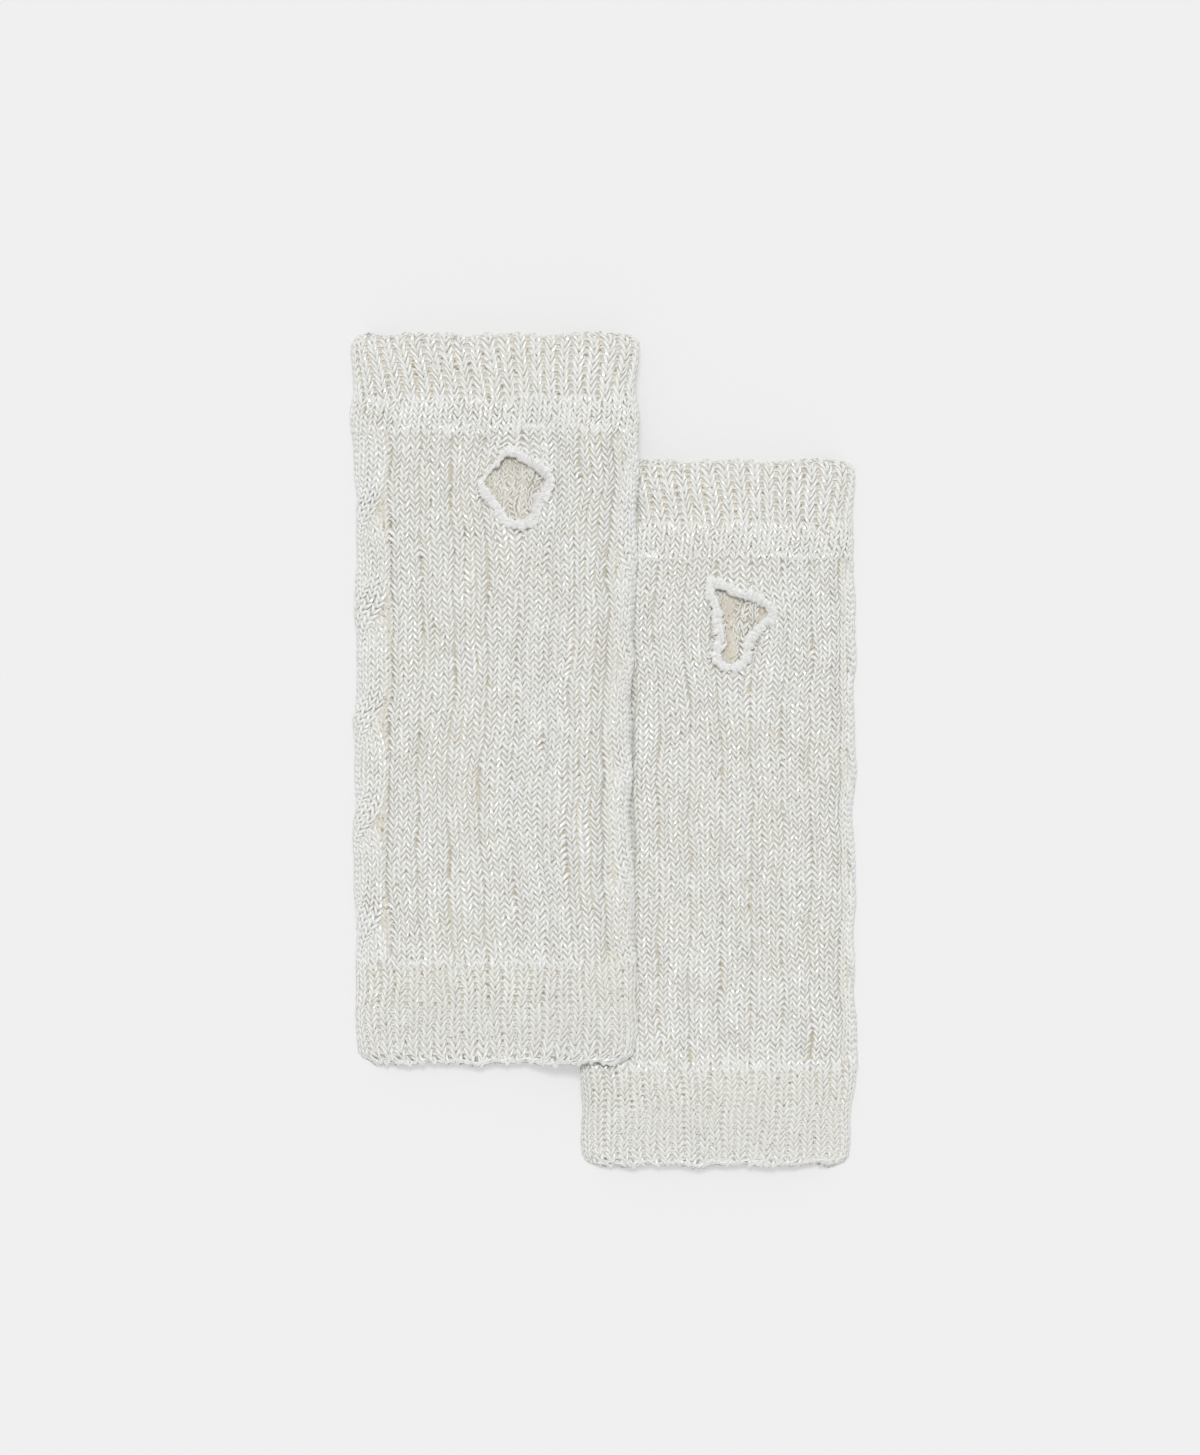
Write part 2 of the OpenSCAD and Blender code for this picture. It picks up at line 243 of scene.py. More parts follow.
for tube in tubes.values():
    palm = np.array(PALM_GROOVES[tube.side]) * MM
    tube.palm_grooves = palm
    tube.back_grooves = np.linspace(palm[-1] + CABLE_WIDTH, palm[0] + tube.round - CABLE_WIDTH, BACK_RIBS + 1)
    tube.thumb = np.array([tube.centre_x + THUMB_SIDE[tube.side], tube.hand_top - THUMB_DROP[tube.side]])
    tube.thumb_loop = tube.thumb + smooth_loop(THUMB_CORNERS[tube.side]) * MM


def in_hole(tube, loop, points):
    """Which points the thumb hole takes: those of the upper layer inside the loop."""
    x, y, z = points[..., 0], points[..., 1], points[..., 2]
    return inside_loop(loop, x, y) & (z > HALF_LAY + tube.rise(x, y))


HOLE_PUSH = 3.8 * MM
PUSH_REACH = 18 * MM
PULL_FADE = 9 * MM
GROOVE_PART = 0.32 * MM
PART_REACH = 2.2 * MM
GROOVE_DEPTH = 0.6 * MM
GROOVE_REACH = 0.9 * MM
RIB_ROUND = 0.85 * MM
ROUND_REACH = 2.3 * MM
RIB_FADE = 4 * MM
BACK_SWELL = 4.8 * MM


def groove_open(number, along):
    y = along / MM
    return ease(0.28 + 0.5 * np.sin(y / 9.1 + 2.9 * number) + 0.35 * np.sin(y / 4.3 + 1.3 * number))


def groove_part(tube, around, along):
    """How far two ribs draw apart at the groove between them: open in some places, shut in others."""
    l = np.mod(around - tube.palm_grooves[0] + 3 * MM, tube.round) + tube.palm_grooves[0] - 3 * MM
    part = np.zeros(np.shape(around))
    for number, groove in enumerate([*tube.palm_grooves, *tube.back_grooves]):
        off = l - groove
        part = part + GROOVE_PART * groove_open(number, along) * np.sign(off) * bell(off / PART_REACH)
    return part


def fade(tube, along, reach):
    """One over the hand tube, falling to none at its cuffs."""
    return ease((tube.hand_top - along) / reach) * ease((along - tube.hand_bottom) / reach)


def pull_fabric(tube, around, along):
    """Sways the wales and courses a little, and pushes them apart round the thumb hole."""
    wrapped = np.mod(around + tube.round / 2, tube.round) - tube.round / 2
    s, y = wrapped / MM, along / MM
    phase = 0.0 if tube.side == "upper" else 2.1
    drift = -2.1 * bell((y + 20) / 27) if tube.side == "upper" else 0.7 * bell((y + 30) / 30)
    sway = drift * bell(s / 34) + 0.35 * np.sin(y / 7.5 + s * 0.12 + phase)
    sway = sway + 0.22 * np.sin(y / 3.4 - s * 0.31 + phase)
    dip = 0.6 * np.sin(s / 8.2 + 0.6 + phase) + 0.3 * np.sin(s / 2.6 + y / 11 + phase)
    off_s = wrapped - THUMB_SIDE[tube.side]
    off_y = along - tube.thumb[1]
    near = np.where(off_y < 0, bell(off_y / (14 * MM)), bell(off_y / (15 * MM)))
    push = HOLE_PUSH * np.tanh(off_s / (4.5 * MM)) * np.exp(-np.abs(off_s) / PUSH_REACH) * near
    push = push * ease((tube.round / 4 - np.abs(wrapped)) / (10 * MM))
    ends = fade(tube, along, PULL_FADE)
    return around + groove_part(tube, around, along) + sway * MM * ends + push, along + dip * MM * ends


def back_swell(tube, around, along):
    """Height by which the slack back of the glove lies up against the palm under the thumb hole."""
    off = np.mod(around, tube.round) - (tube.round / 2 - THUMB_SIDE[tube.side])
    far = np.hypot(off, 0.9 * (along - tube.thumb[1]))
    return BACK_SWELL * (1 - ease((far - 9 * MM) / (18 * MM)))


def rib_relief(tube, around, along):
    """Depth of the grooves between the ribs, deeper in some places than in others, none at the cuffs."""
    l = np.mod(around - tube.palm_grooves[0], tube.round) + tube.palm_grooves[0]
    relief = np.zeros(np.shape(around))
    y = along / MM
    for grooves in (tube.palm_grooves, tube.back_grooves):
        for number, groove in enumerate(grooves):
            depth = 0.8 + 0.2 * np.sin(y / 7.3 + 2.4 * number) + 0.15 * np.sin(y / 3.1 + 1.7 * number)
            relief = relief - GROOVE_DEPTH * depth * bell((l - groove) / GROOVE_REACH)
            relief = relief - RIB_ROUND * bell((l - groove) / ROUND_REACH)
    return relief * fade(tube, along, RIB_FADE)


def feed(tree, made, feeds):
    """Sets a node's sockets, by name or number, to values or to other nodes' outputs."""
    for socket, value in feeds.items():
        if isinstance(value, bpy.types.NodeSocket):
            tree.links.new(value, made.inputs[socket])
        else:
            made.inputs[socket].default_value = value


def node(tree, kind, feeds=None, **settings):
    made = tree.nodes.new(kind)
    for name, value in settings.items():
        setattr(made, name, value)
    feed(tree, made, feeds or {})
    return made


def reckon(tree, operation, *values):
    return node(tree, "ShaderNodeMath", dict(enumerate(values)), operation=operation).outputs[0]


def scaled(tree, triple, scale):
    made = node(tree, "ShaderNodeVectorMath", {0: triple, "Scale": scale}, operation="SCALE")
    return made.outputs["Vector"]


def mapped(tree, value, *limits):
    """A value moved from its own low and high to another low and high, or to none and one."""
    return node(tree, "ShaderNodeMapRange", {0: value, **dict(enumerate(limits, 1))}).outputs["Result"]


def mix_colours(tree, share, first, second):
    return node(tree, "ShaderNodeMix", {0: share, 6: first, 7: second}, data_type="RGBA").outputs[2]


def noise(tree, place, grain, detail):
    feeds = {"Vector": place, "Scale": grain, "Detail": detail}
    return node(tree, "ShaderNodeTexNoise", feeds).outputs["Fac"]


def stored(tree, name, output="Fac"):
    return node(tree, "ShaderNodeAttribute", attribute_name=name).outputs[output]


def new_material(name):
    material = bpy.data.materials.new(name)
    material.use_nodes = True
    return material, material.node_tree, material.node_tree.nodes["Principled BSDF"]


FIBRE_GRAIN = 2600.0
PATCH_GRAIN = 55.0
PIT_SHADE_GRAIN = 800.0
PLY_TWIST = 8.0
PLY_COUNT = 3.0
PLY_FRAY = 3.0
PLY_DEPTH = 0.6


def spun_yarn(name, light, deep, warm, fuzz=0.35, plies=True, pit_shade=None):
    """Soft spun yarn: tone changes from stitch to stitch, in slow warm patches and in fibres; the valleys
    between its plies are painted darker as shade. Pit shade paints darker dots where loop backs leave small
    gaps open."""
    material, tree, shader = new_material(name)
    place = node(tree, "ShaderNodeTexCoord").outputs["Object"]
    fibres = noise(tree, place, FIBRE_GRAIN, 3.0)
    colour = mix_colours(tree, stored(tree, "tone"), (*deep, 1), (*light, 1))
    patches = mapped(tree, noise(tree, place, PATCH_GRAIN, 2.0), 0.42, 0.72)
    colour = mix_colours(tree, patches, colour, (*warm, 1))
    # painted shade: dark dots where the small gaps between loops would lie in shade
    if pit_shade:
        pit_shade_mask = mapped(tree, noise(tree, place, PIT_SHADE_GRAIN, 1.0), 0.57, 0.68)
        colour = mix_colours(tree, pit_shade_mask, colour, (*pit_shade, 1))
    surface = fibres
    if plies:
        section = node(tree, "ShaderNodeSeparateXYZ", {"Vector": stored(tree, "section", "Vector")}).outputs
        counted = reckon(tree, "MULTIPLY", reckon(tree, "ARCTAN2", section["Y"], section["X"]), PLY_COUNT)
        wound = reckon(tree, "MULTIPLY_ADD", stored(tree, "way"), PLY_TWIST, counted)
        frayed = reckon(tree, "MULTIPLY_ADD", fibres, PLY_FRAY, wound)
        # the valleys between the plies are painted darker, as the shade in them
        ridge = mapped(tree, reckon(tree, "SINE", frayed), -1.0, 0.3)
        surface = reckon(tree, "MULTIPLY_ADD", ridge, PLY_DEPTH, fibres)
    shade = mapped(tree, surface, 0.35, 1.15 if plies else 0.7, 0.86, 1.05)
    bump = node(tree, "ShaderNodeBump", {"Height": surface, "Strength": 0.5, "Distance": 0.15 * MM})
    finish = {
        "Base Color": scaled(tree, colour, shade),
        "Roughness": mapped(tree, fibres, 0.0, 1.0, 0.7, 0.95),
        "Normal": bump.outputs["Normal"],
        "Sheen Weight": fuzz,
        "Sheen Roughness": 0.45,
        "Specular IOR Level": 0.12,
        "Subsurface Weight": 0.3,
        "Subsurface Radius": (1.0, 0.92, 0.78),
        "Subsurface Scale": 0.5 * MM,
    }
    feed(tree, shader, finish)
    return material


# Loop backs: the same yarn as the stitches, painted darker and warmer as the shade between the legs; the
# deeper brown is painted shade in the open grooves and on the inner face, the pits painted shade in the gaps.
SHADED_GROUND_COLOUR = (0.77, 0.735, 0.65)
GROOVE_SHADE_COLOUR = (0.53, 0.455, 0.345)
PIT_SHADE_COLOUR = (0.5, 0.435, 0.33)
shaded_loop_backs = spun_yarn(
    "loop backs", SHADED_GROUND_COLOUR, GROOVE_SHADE_COLOUR, SHADED_GROUND_COLOUR, fuzz=0.1, plies=False, pit_shade=PIT_SHADE_COLOUR
)


def put_in(name, data):
    made = bpy.data.objects.new(name, data)
    bpy.context.scene.collection.objects.link(made)
    return made


def new_piece(name, mesh, tube, stands_for=None):
    """Puts a piece on its glove; stands_for is the solid of that glove which it replaces."""
    mesh.name = tube.side + "_" + name
    piece = put_in(mesh.name, mesh)
    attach(piece, tube.body)
    if stands_for:
        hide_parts(tube.side + "_" + stands_for)
    return piece


def smooth_mesh(name, points, faces, material):
    mesh = bpy.data.meshes.new(name)
    mesh.from_pydata(points.tolist(), [], faces)
    mesh.materials.append(material)
    mesh.shade_smooth()
    return mesh


def shell_mesh(outer, inner, kept, painted_shade_tones, material):
    """A wall between two nets of points round a tube, with an opening where cells aren't kept."""
    rows, columns = outer.shape[:2]
    points = np.concatenate([outer.reshape(-1, 3), inner.reshape(-1, 3)])
    deep = rows * columns
    faces = []
    for j in range(rows - 1):
        for i in range(columns):
            if not kept[j, i]:
                continue
            k = (i + 1) % columns
            low, high = j * columns, (j + 1) * columns
            a, b, c, d = low + i, low + k, high + k, high + i
            faces.append((a, b, c, d))
            faces.append((a + deep, d + deep, c + deep, b + deep))
            sides = [(a, b, j - 1, i), (b, c, j, k), (c, d, j + 1, i), (d, a, j, i - 1)]
            for p, q, next_row, next_column in sides:
                if next_row < 0 or next_row >= rows - 1 or not kept[next_row, next_column % columns]:
                    faces.append((q, p, p + deep, q + deep))
    used = np.zeros(len(points), bool)
    used[np.array(faces).ravel()] = True
    number = np.cumsum(used) - 1
    mesh = smooth_mesh("shell", points[used], [tuple(number[list(face)]) for face in faces], material)
    # the outer face keeps the given tones, the inner face the darker inside tone, as painted shade
    painted_shade_tones = np.concatenate([painted_shade_tones.ravel(), np.full(deep, INSIDE_SHADE_TONE)])[used]
    mesh.attributes.new("tone", "FLOAT", "POINT").data.foreach_set("value", painted_shade_tones.astype(np.float32))
    return mesh


GROUND_DEPTH = 0.85 * MM
GROUND_THICKNESS = 0.15 * MM
GROUND_OVERLAP = 0.5 * MM
GROUND_ROWS = 84
GROUND_COLUMNS = 110
GROOVE_SHADE_SPAN = 0.4 * MM
INSIDE_SHADE_TONE = 0.8

for tube in tubes.values():
    grooves = np.mod(np.concatenate([tube.palm_grooves, tube.back_grooves]), tube.round)
    even = np.arange(GROUND_COLUMNS) * tube.round / GROUND_COLUMNS
    away = np.abs(np.subtract.outer(even, grooves)).min(axis=1)
    beside = [grooves + k * GROOVE_SHADE_SPAN for k in (-1, 0, 1)]
    columns = np.concatenate([even[away > 1.6 * GROOVE_SHADE_SPAN], *beside])
    rows = np.linspace(tube.hand_bottom - GROUND_OVERLAP, tube.hand_top + GROUND_OVERLAP, GROUND_ROWS + 1)
    around, along = np.meshgrid(np.sort(columns), rows)
    # painted shade: the ground's tone falls along each groove, most where it opens, and is lower on the inner
    # face
    painted_shade_tones = np.ones(around.shape)
    for number, groove in enumerate(grooves):
        groove_shading = np.clip(1 - np.abs(around - groove) / GROOVE_SHADE_SPAN, 0, 1)
        painted_shade_tones = painted_shade_tones - groove_shading * (0.15 + 0.75 * groove_open(number, along))
    dip = rib_relief(tube, around.ravel(), along.ravel())
    s, y = pull_fabric(tube, around.ravel(), along.ravel())
    outer = tube.place(s, y, dip - GROUND_DEPTH).reshape(*around.shape, 3)
    depth = np.maximum(HAND_WALL, GROUND_DEPTH + GROUND_THICKNESS - dip)
    inner = tube.place(s, y, -depth - back_swell(tube, s, y)).reshape(*around.shape, 3)
    middles = (outer[:-1] + outer[1:]) / 2
    middles = (middles + np.roll(middles, -1, axis=1)) / 2
    kept = ~in_hole(tube, tube.thumb_loop, middles)
    ground = shell_mesh(outer, inner, kept, painted_shade_tones, shaded_loop_backs)
    new_piece("hand_ground", ground, tube, "hand_tube")

# Ribs of the hand tube, front and back: each rib is three wales of plain stitches between purl grooves.
# One stitch is a loop of yarn that shows as a V with two legs; its yarn is spun and a little uneven.
# Each course hangs in the loops of the course below it.
KNIT_LEGS = [
    ((0.01, -0.7, -1.1), (0.2, -0.06, 1.0), (0.5, 0.74, -1.1)),
    ((-0.01, -0.7, -1.1), (-0.2, -0.06, 1.0), (-0.5, 0.74, -1.1)),
]
LEG_ENDS = 0.55
hand_yarn = spun_yarn("hand yarn", (0.94, 0.946, 0.922), (0.87, 0.874, 0.842), (0.89, 0.883, 0.84))


def start_tree(name, works_on, sizes, seeded=True):
    """A Geometry Nodes tree with named inputs: what it works on, its sizes, its seed and its yarn."""
    tree = bpy.data.node_groups.new(name, "GeometryNodeTree")
    kinds = {works_on: "Geometry", **dict.fromkeys(sizes, "Float")}
    if seeded:
        kinds["Seed"] = "Int"
    kinds["Yarn"] = "Material"
    for socket, kind in kinds.items():
        tree.interface.new_socket(socket, in_out="INPUT", socket_type="NodeSocket" + kind)
    tree.interface.new_socket("Made", in_out="OUTPUT", socket_type="NodeSocketGeometry")
    return tree, node(tree, "NodeGroupInput").outputs


def chance(tree, given, shift, low, high, kind="FLOAT"):
    """A value picked for each point between two limits; shift keeps a tree's own picks apart."""
    first = 2 if kind == "FLOAT" else 0
    seed = reckon(tree, "ADD", given["Seed"], shift)
    feeds = {first: low, first + 1: high, "Seed": seed}
    return node(tree, "FunctionNodeRandomValue", feeds, data_type=kind).outputs[first // 2]


def vector(tree, x=0.0, y=0.0, z=0.0):
    return node(tree, "ShaderNodeCombineXYZ", {"X": x, "Y": y, "Z": z}).outputs["Vector"]


def store(tree, geometry, name, value, kind="FLOAT", domain="POINT"):
    feeds = {"Geometry": geometry, "Name": name, "Value": value}
    made = node(tree, "GeometryNodeStoreNamedAttribute", feeds, data_type=kind, domain=domain)
    return made.outputs["Geometry"]


def bent_legs(tree, legs, steps):
    """Curved legs of yarn, each given by its start, middle and end."""
    joined = node(tree, "GeometryNodeJoinGeometry")
    for start, middle, end in legs:
        feeds = {"Resolution": steps, "Start": start, "Middle": middle, "End": end}
        leg = node(tree, "GeometryNodeCurveQuadraticBezier", feeds)
        tree.links.new(leg.outputs["Curve"], joined.inputs["Geometry"])
    return joined.outputs["Geometry"]


def circle(tree, sides, radius):
    feeds = {"Resolution": sides, "Radius": radius}
    return node(tree, "GeometryNodeCurvePrimitiveCircle", feeds).outputs["Curve"]


def round_yarn(tree, path, section, more):
    """Yarn of a given section that follows a path."""
    yarn = node(tree, "GeometryNodeCurveToMesh", {"Curve": path, "Profile Curve": section, **more})
    return node(tree, "GeometryNodeSetShadeSmooth", {"Geometry": yarn.outputs["Mesh"]}).outputs["Geometry"]


def planted(tree, points, piece, rotation, **more):
    feeds = {"Points": points, "Instance": piece, "Rotation": rotation, **more}
    return node(tree, "GeometryNodeInstanceOnPoints", feeds).outputs["Instances"]


def own_tones(tree, given, pieces):
    return store(tree, pieces, "tone", chance(tree, given, 31.0, 0.0, 1.0), domain="INSTANCE")


def end_tree(tree, given, made):
    real = node(tree, "GeometryNodeRealizeInstances", {"Geometry": made}).outputs["Geometry"]
    yarn = node(tree, "GeometryNodeSetMaterial", {"Geometry": real, "Material": given["Yarn"]})
    node(tree, "NodeGroupOutput", {"Made": yarn.outputs["Geometry"]})
    return tree


def yarn_tree(name, legs, steps, sides=5):
    """Geometry Nodes tree that sets one stitch, made of curved legs of yarn, on each point of a swatch."""
    sizes = ("Stitch Width", "Stitch Height", "Yarn Radius", "Unevenness")
    tree, given = start_tree(name, "Points", sizes)
    size = vector(tree, given["Stitch Width"], given["Stitch Height"], given["Yarn Radius"])
    shaped = {"Geometry": bent_legs(tree, legs, steps), "Scale": size}
    sized = node(tree, "GeometryNodeTransform", shaped).outputs["Geometry"]
    way = node(tree, "GeometryNodeSplineParameter").outputs["Factor"]
    belly = reckon(tree, "SINE", reckon(tree, "MULTIPLY", way, math.pi))
    belly = reckon(tree, "MULTIPLY_ADD", belly, 1 - LEG_ENDS, LEG_ENDS)
    radius = reckon(tree, "MULTIPLY", belly, given["Yarn Radius"])
    rim = node(tree, "GeometryNodeInputPosition").outputs["Position"]
    section = store(tree, circle(tree, sides, 1.0), "section", rim, "FLOAT_VECTOR")
    path = store(tree, sized, "way", way)
    stitch = round_yarn(tree, path, section, {"Scale": radius, "Fill Caps": True})
    most = scaled(tree, (0.5, 0.5, 1.0), given["Unevenness"])
    tilt = chance(tree, given, 0.0, scaled(tree, most, -1.0), most, "FLOAT_VECTOR")
    grow = reckon(tree, "ADD", given["Unevenness"], 1.0)
    shrink = reckon(tree, "SUBTRACT", 1.0, given["Unevenness"])
    scale = chance(tree, given, 17.0, shrink, grow)
    stitches = planted(tree, given["Points"], stitch, tilt, Scale=scale)
    return end_tree(tree, given, own_tones(tree, given, stitches))


def run_tree(tree, mesh, sizes):
    """Runs a tree on a mesh with the named sizes and gives the plain mesh that it makes."""
    holder = put_in("holder", mesh)
    modifier = holder.modifiers.new("knitting", "NODES")
    modifier.node_group = tree
    for item in tree.interface.items_tree:
        if item.in_out == "INPUT" and item.name in sizes:
            modifier[item.identifier] = sizes[item.name]
    seen = holder.evaluated_get(bpy.context.evaluated_depsgraph_get())
    made = bpy.data.meshes.new_from_object(seen)
    bpy.data.objects.remove(holder)
    return made


def swatch_mesh(points):
    mesh = bpy.data.meshes.new("swatch")
    mesh.from_pydata(np.column_stack([points, np.zeros(len(points))]).tolist(), [], [])
    return mesh


def lay_on(mesh, wrap):
    """Moves a flat swatch's points (around, along, out) to where the glove's fabric has them."""
    flat = np.empty(len(mesh.vertices) * 3, np.float32)
    mesh.vertices.foreach_get("co", flat)
    around, along, out = flat.reshape(-1, 3).astype(float).T
    mesh.vertices.foreach_set("co", wrap(around, along, out).astype(np.float32).ravel())
    mesh.update()
    return mesh


def knit(name, tube, tree, points, wrap, size, yarn, uneven, seed, threaded=False, stands_for=None):
    """Knits a swatch of stitches of a width, height and yarn radius and lays it on the glove.
    A threaded one is kept for the metallic thread that runs along with its yarn."""
    sizes = dict(zip(("Stitch Width", "Stitch Height", "Yarn Radius"), size))
    sizes |= {"Unevenness": uneven, "Seed": seed, "Yarn": yarn}
    if threaded:
        tube.threaded.append((points, wrap, size[0]))
    mesh = lay_on(run_tree(tree, swatch_mesh(points), sizes), wrap)
    return new_piece(name, mesh, tube, stands_for)


def wale_points(starts, low, high, course, shift, seed):
    """Stitch centres up each wale, with a small shift from wale to wale."""
    rng = np.random.default_rng(seed)
    points = []
    for start in starts:
        first = low + course * (0.5 + shift * rng.uniform(-1, 1))
        rows = np.arange(first, high, course)
        points.append(np.column_stack([np.full(len(rows), start), rows]))
    return np.concatenate(points)


knit_stitches = yarn_tree("knit stitches", KNIT_LEGS, 4)
plain_stitches = yarn_tree("knit stitches of the back", KNIT_LEGS, 3, 4)
GROOVE_WIDTH = 0.14 * MM
HAND_COURSE = {"upper": 1.77 * MM, "lower": 1.71 * MM}
YARN_RADIUS = 0.5 * MM
YARN_LIFT = -0.85 * YARN_RADIUS
THUMB_MARGIN = 0.35 * MM
THUMB_RADIUS = 9 * MM


def rib_wales(grooves):
    """Middles of the three wales of each rib between its grooves."""
    starts = []
    for left, right in zip(grooves[:-1], grooves[1:]):
        width = (right - left - GROOVE_WIDTH) / 3
        starts += [left + GROOVE_WIDTH / 2 + (wale + 0.5) * width for wale in range(3)]
    return starts, (grooves[-1] - grooves[0]) / len(starts) - GROOVE_WIDTH / 3


def fabric_wrap(tube, ribbed, lift, around, along, out):
    """Lays stitches on the hand tube; ribbed is the share of the ribs' relief that they follow."""
    relief = ribbed * rib_relief(tube, around, along)
    s, y = pull_fabric(tube, around, along)
    return tube.place(s, y, out + relief + lift)


def clear_of_thumb(tube, points, wrap, margin):
    """Drops the stitches that the thumb hole cuts away."""
    centres = wrap(points[:, 0], points[:, 1], np.zeros(len(points)))
    grown = tube.thumb + (tube.thumb_loop - tube.thumb) * (1 + margin / THUMB_RADIUS)
    return points[~in_hole(tube, grown, centres)]


for tube in tubes.values():
    wrap = partial(fabric_wrap, tube, 1.0, YARN_LIFT)
    course = HAND_COURSE[tube.side]
    low, high = tube.hand_bottom - 1.2 * MM, tube.hand_top + 0.9 * MM
    starts, width = rib_wales(tube.palm_grooves)
    points = wale_points(starts, low, high, course, 0.12, 11)
    points = clear_of_thumb(tube, points, wrap, THUMB_MARGIN)
    size = (width, course, YARN_RADIUS)
    knit(
        "palm_ribs", tube, knit_stitches, points, wrap, size, hand_yarn,
        uneven=0.15, seed=3, threaded=True,
    )
    starts, width = rib_wales(tube.back_grooves)
    points = wale_points(starts, low, high, course, 0.12, 12)
    size = (width, course, YARN_RADIUS)
    knit(
        "back_ribs", tube, plain_stitches, points, wrap, size, hand_yarn,
        uneven=0.15, seed=4, threaded=True,
    )

# Cables down both sides of each hand tube: two strands of three wales that cross over each other
# again and again, so the folded edge of the glove shows as a row of soft swellings.
# Knitted in the same yarn and the same courses as the ribs.
CABLE_TWIST = 29 * MM
CABLE_SNAP = 1.7
STRAND_WALE = 2.45 * MM
STRAND_SWING = 3.7 * MM
STRAND_OVER = 0.5 * MM
STRAND_UNDER = 0.3 * MM
STRAND_CROWN = 0.3 * MM
STRAND_APART = 0.5
BESIDE_WALES = 6
BESIDE_SINK = 0.6 * MM
CABLES = {"left": (-1, 0.4, 1.05), "right": (1, 1.9, 0.7)}


def cable_wrap(tube, middle, hand, phase, bold, around, along, out):
    reach = bold * STRAND_SWING
    strand = np.where(around > STRAND_APART / 2, 1.0, 0.0)
    off = around - strand * STRAND_APART
    t = math.pi * (along - tube.hand_bottom) / CABLE_TWIST + phase + strand * math.pi
    swing = hand * reach * np.tanh(CABLE_SNAP * np.cos(t)) / math.tanh(CABLE_SNAP)
    steep = CABLE_SNAP / np.cosh(CABLE_SNAP * np.cos(t)) ** 2 / math.tanh(CABLE_SNAP)
    tilt = np.arctan(-hand * reach * math.pi / CABLE_TWIST * np.sin(t) * steep)
    lift = bold * np.where(np.sin(t) > 0, STRAND_OVER, STRAND_UNDER) * np.sin(t) ** 3
    crown = -STRAND_CROWN * (off / (1.5 * STRAND_WALE)) ** 2
    s, y = pull_fabric(tube, middle + swing + off * np.cos(tilt), along - off * np.sin(tilt))
    return tube.place(s, y, out + lift + crown + YARN_LIFT)


for tube in tubes.values():
    course = HAND_COURSE[tube.side]
    starts = [strand * STRAND_APART + wale * STRAND_WALE for strand in (0, 1) for wale in (-1, 0, 1)]
    pitch = CABLE_WIDTH / BESIDE_WALES
    for side, (hand, phase, bold) in CABLES.items():
        middle = tube.palm_grooves[0 if side == "left" else -1] + hand * CABLE_WIDTH / 2
        wrap = partial(cable_wrap, tube, middle, hand, phase, bold)
        points = wale_points(starts, tube.hand_bottom - 0.4 * MM, tube.hand_top + 0.4 * MM, course, 0.1, 21)
        size = (STRAND_WALE, course, YARN_RADIUS)
        knit(
            side + "_cable", tube, knit_stitches, points, wrap, size, hand_yarn,
            uneven=0.15, seed=5, threaded=True,
        )
        wrap = partial(fabric_wrap, tube, 0.5, YARN_LIFT - BESIDE_SINK)
        starts_beside = middle + (np.arange(BESIDE_WALES) - (BESIDE_WALES - 1) / 2) * pitch
        points = wale_points(starts_beside, tube.hand_bottom, tube.hand_top, course, 0.5, 22)
        size = (pitch, course, YARN_RADIUS)
        knit(
            side + "_cable_ground", tube, plain_stitches, points, wrap, size, hand_yarn,
            uneven=0.1, seed=17,
        )

# Inside of each hand tube where it shows through the thumb hole: the back's fabric seen from within,
# small slack stitches of the same yarn that lean every way where the fabric isn't stretched, its colour
# painted darker and warmer, as the shade inside the hole.
INSIDE_WALE = 1.9 * MM
INSIDE_COURSE = 1.6 * MM
INSIDE_REACH = 15 * MM
INSIDE_YARN_RADIUS = 0.4 * MM
INSIDE_STAND = 0.75 * MM
shaded_inside_yarn = spun_yarn("inside yarn", (0.91, 0.9, 0.85), (0.82, 0.8, 0.74), (0.86, 0.835, 0.77))


def inside_wrap(tube, around, along, out):
    u, v = around / MM, along / MM
    s = tube.round / 2 - THUMB_SIDE[tube.side] - around
    s = s + (0.7 * np.sin(v / 2.6) + 0.4 * np.sin(u / 1.3 + v / 2.5)) * MM
    y = along + (0.6 * np.sin(u / 2.2) + 0.4 * np.sin(u / 0.9 + 1)) * MM
    lift = back_swell(tube, s, y) + out - 0.85 * INSIDE_YARN_RADIUS + 0.25 * MM * np.sin(u / 1.9)
    return tube.place(s, y, -HAND_WALL - lift - INSIDE_STAND)


for tube in tubes.values():
    starts = np.arange(-INSIDE_REACH, INSIDE_REACH, INSIDE_WALE)
    low, high = tube.thumb[1] - INSIDE_REACH, tube.thumb[1] + INSIDE_REACH
    points = wale_points(starts, low, high, INSIDE_COURSE, 0.5, 25)
    size = (INSIDE_WALE, INSIDE_COURSE, INSIDE_YARN_RADIUS)
    wrap = partial(inside_wrap, tube)
    knit(
        "palm_inside", tube, plain_stitches, points, wrap, size, shaded_inside_yarn, uneven=0.32, seed=6
    )

# Doubled finger cuffs: a one-by-one rib that runs up the outside, turns over the finger edge and runs
# back down inside. The knit wales stand up and the purl wales between them sink in and show as bars.
SEAM_ZONE = 7.5 * MM
WELT_INSIDE_SHOWN = 13 * MM
WELT_DEPTH = 2.42 * MM
WELT_TURN = WELT_DEPTH / 2
WELT_INSET = 0.95 * MM
TURN_START = 0.3
CUFF_WALES = 44
CUFF_COLUMNS = 160
CUFF_COURSE = 2.0 * MM
CUFF_STRETCH = 1.35
CUFF_WALE_SHARE = 0.83
CUFF_CROWN = 0.6 * MM
BAND_SWELL = 0.3 * MM
PURL_LOOPS = [((-0.52, -0.22, -0.8), (0.0, 0.55, 1.4), (0.52, -0.22, -0.8))]
PURL_SINK = -0.5 * MM
BAR_SHARE = 0.6
BAR_RADIUS = 0.42 * MM
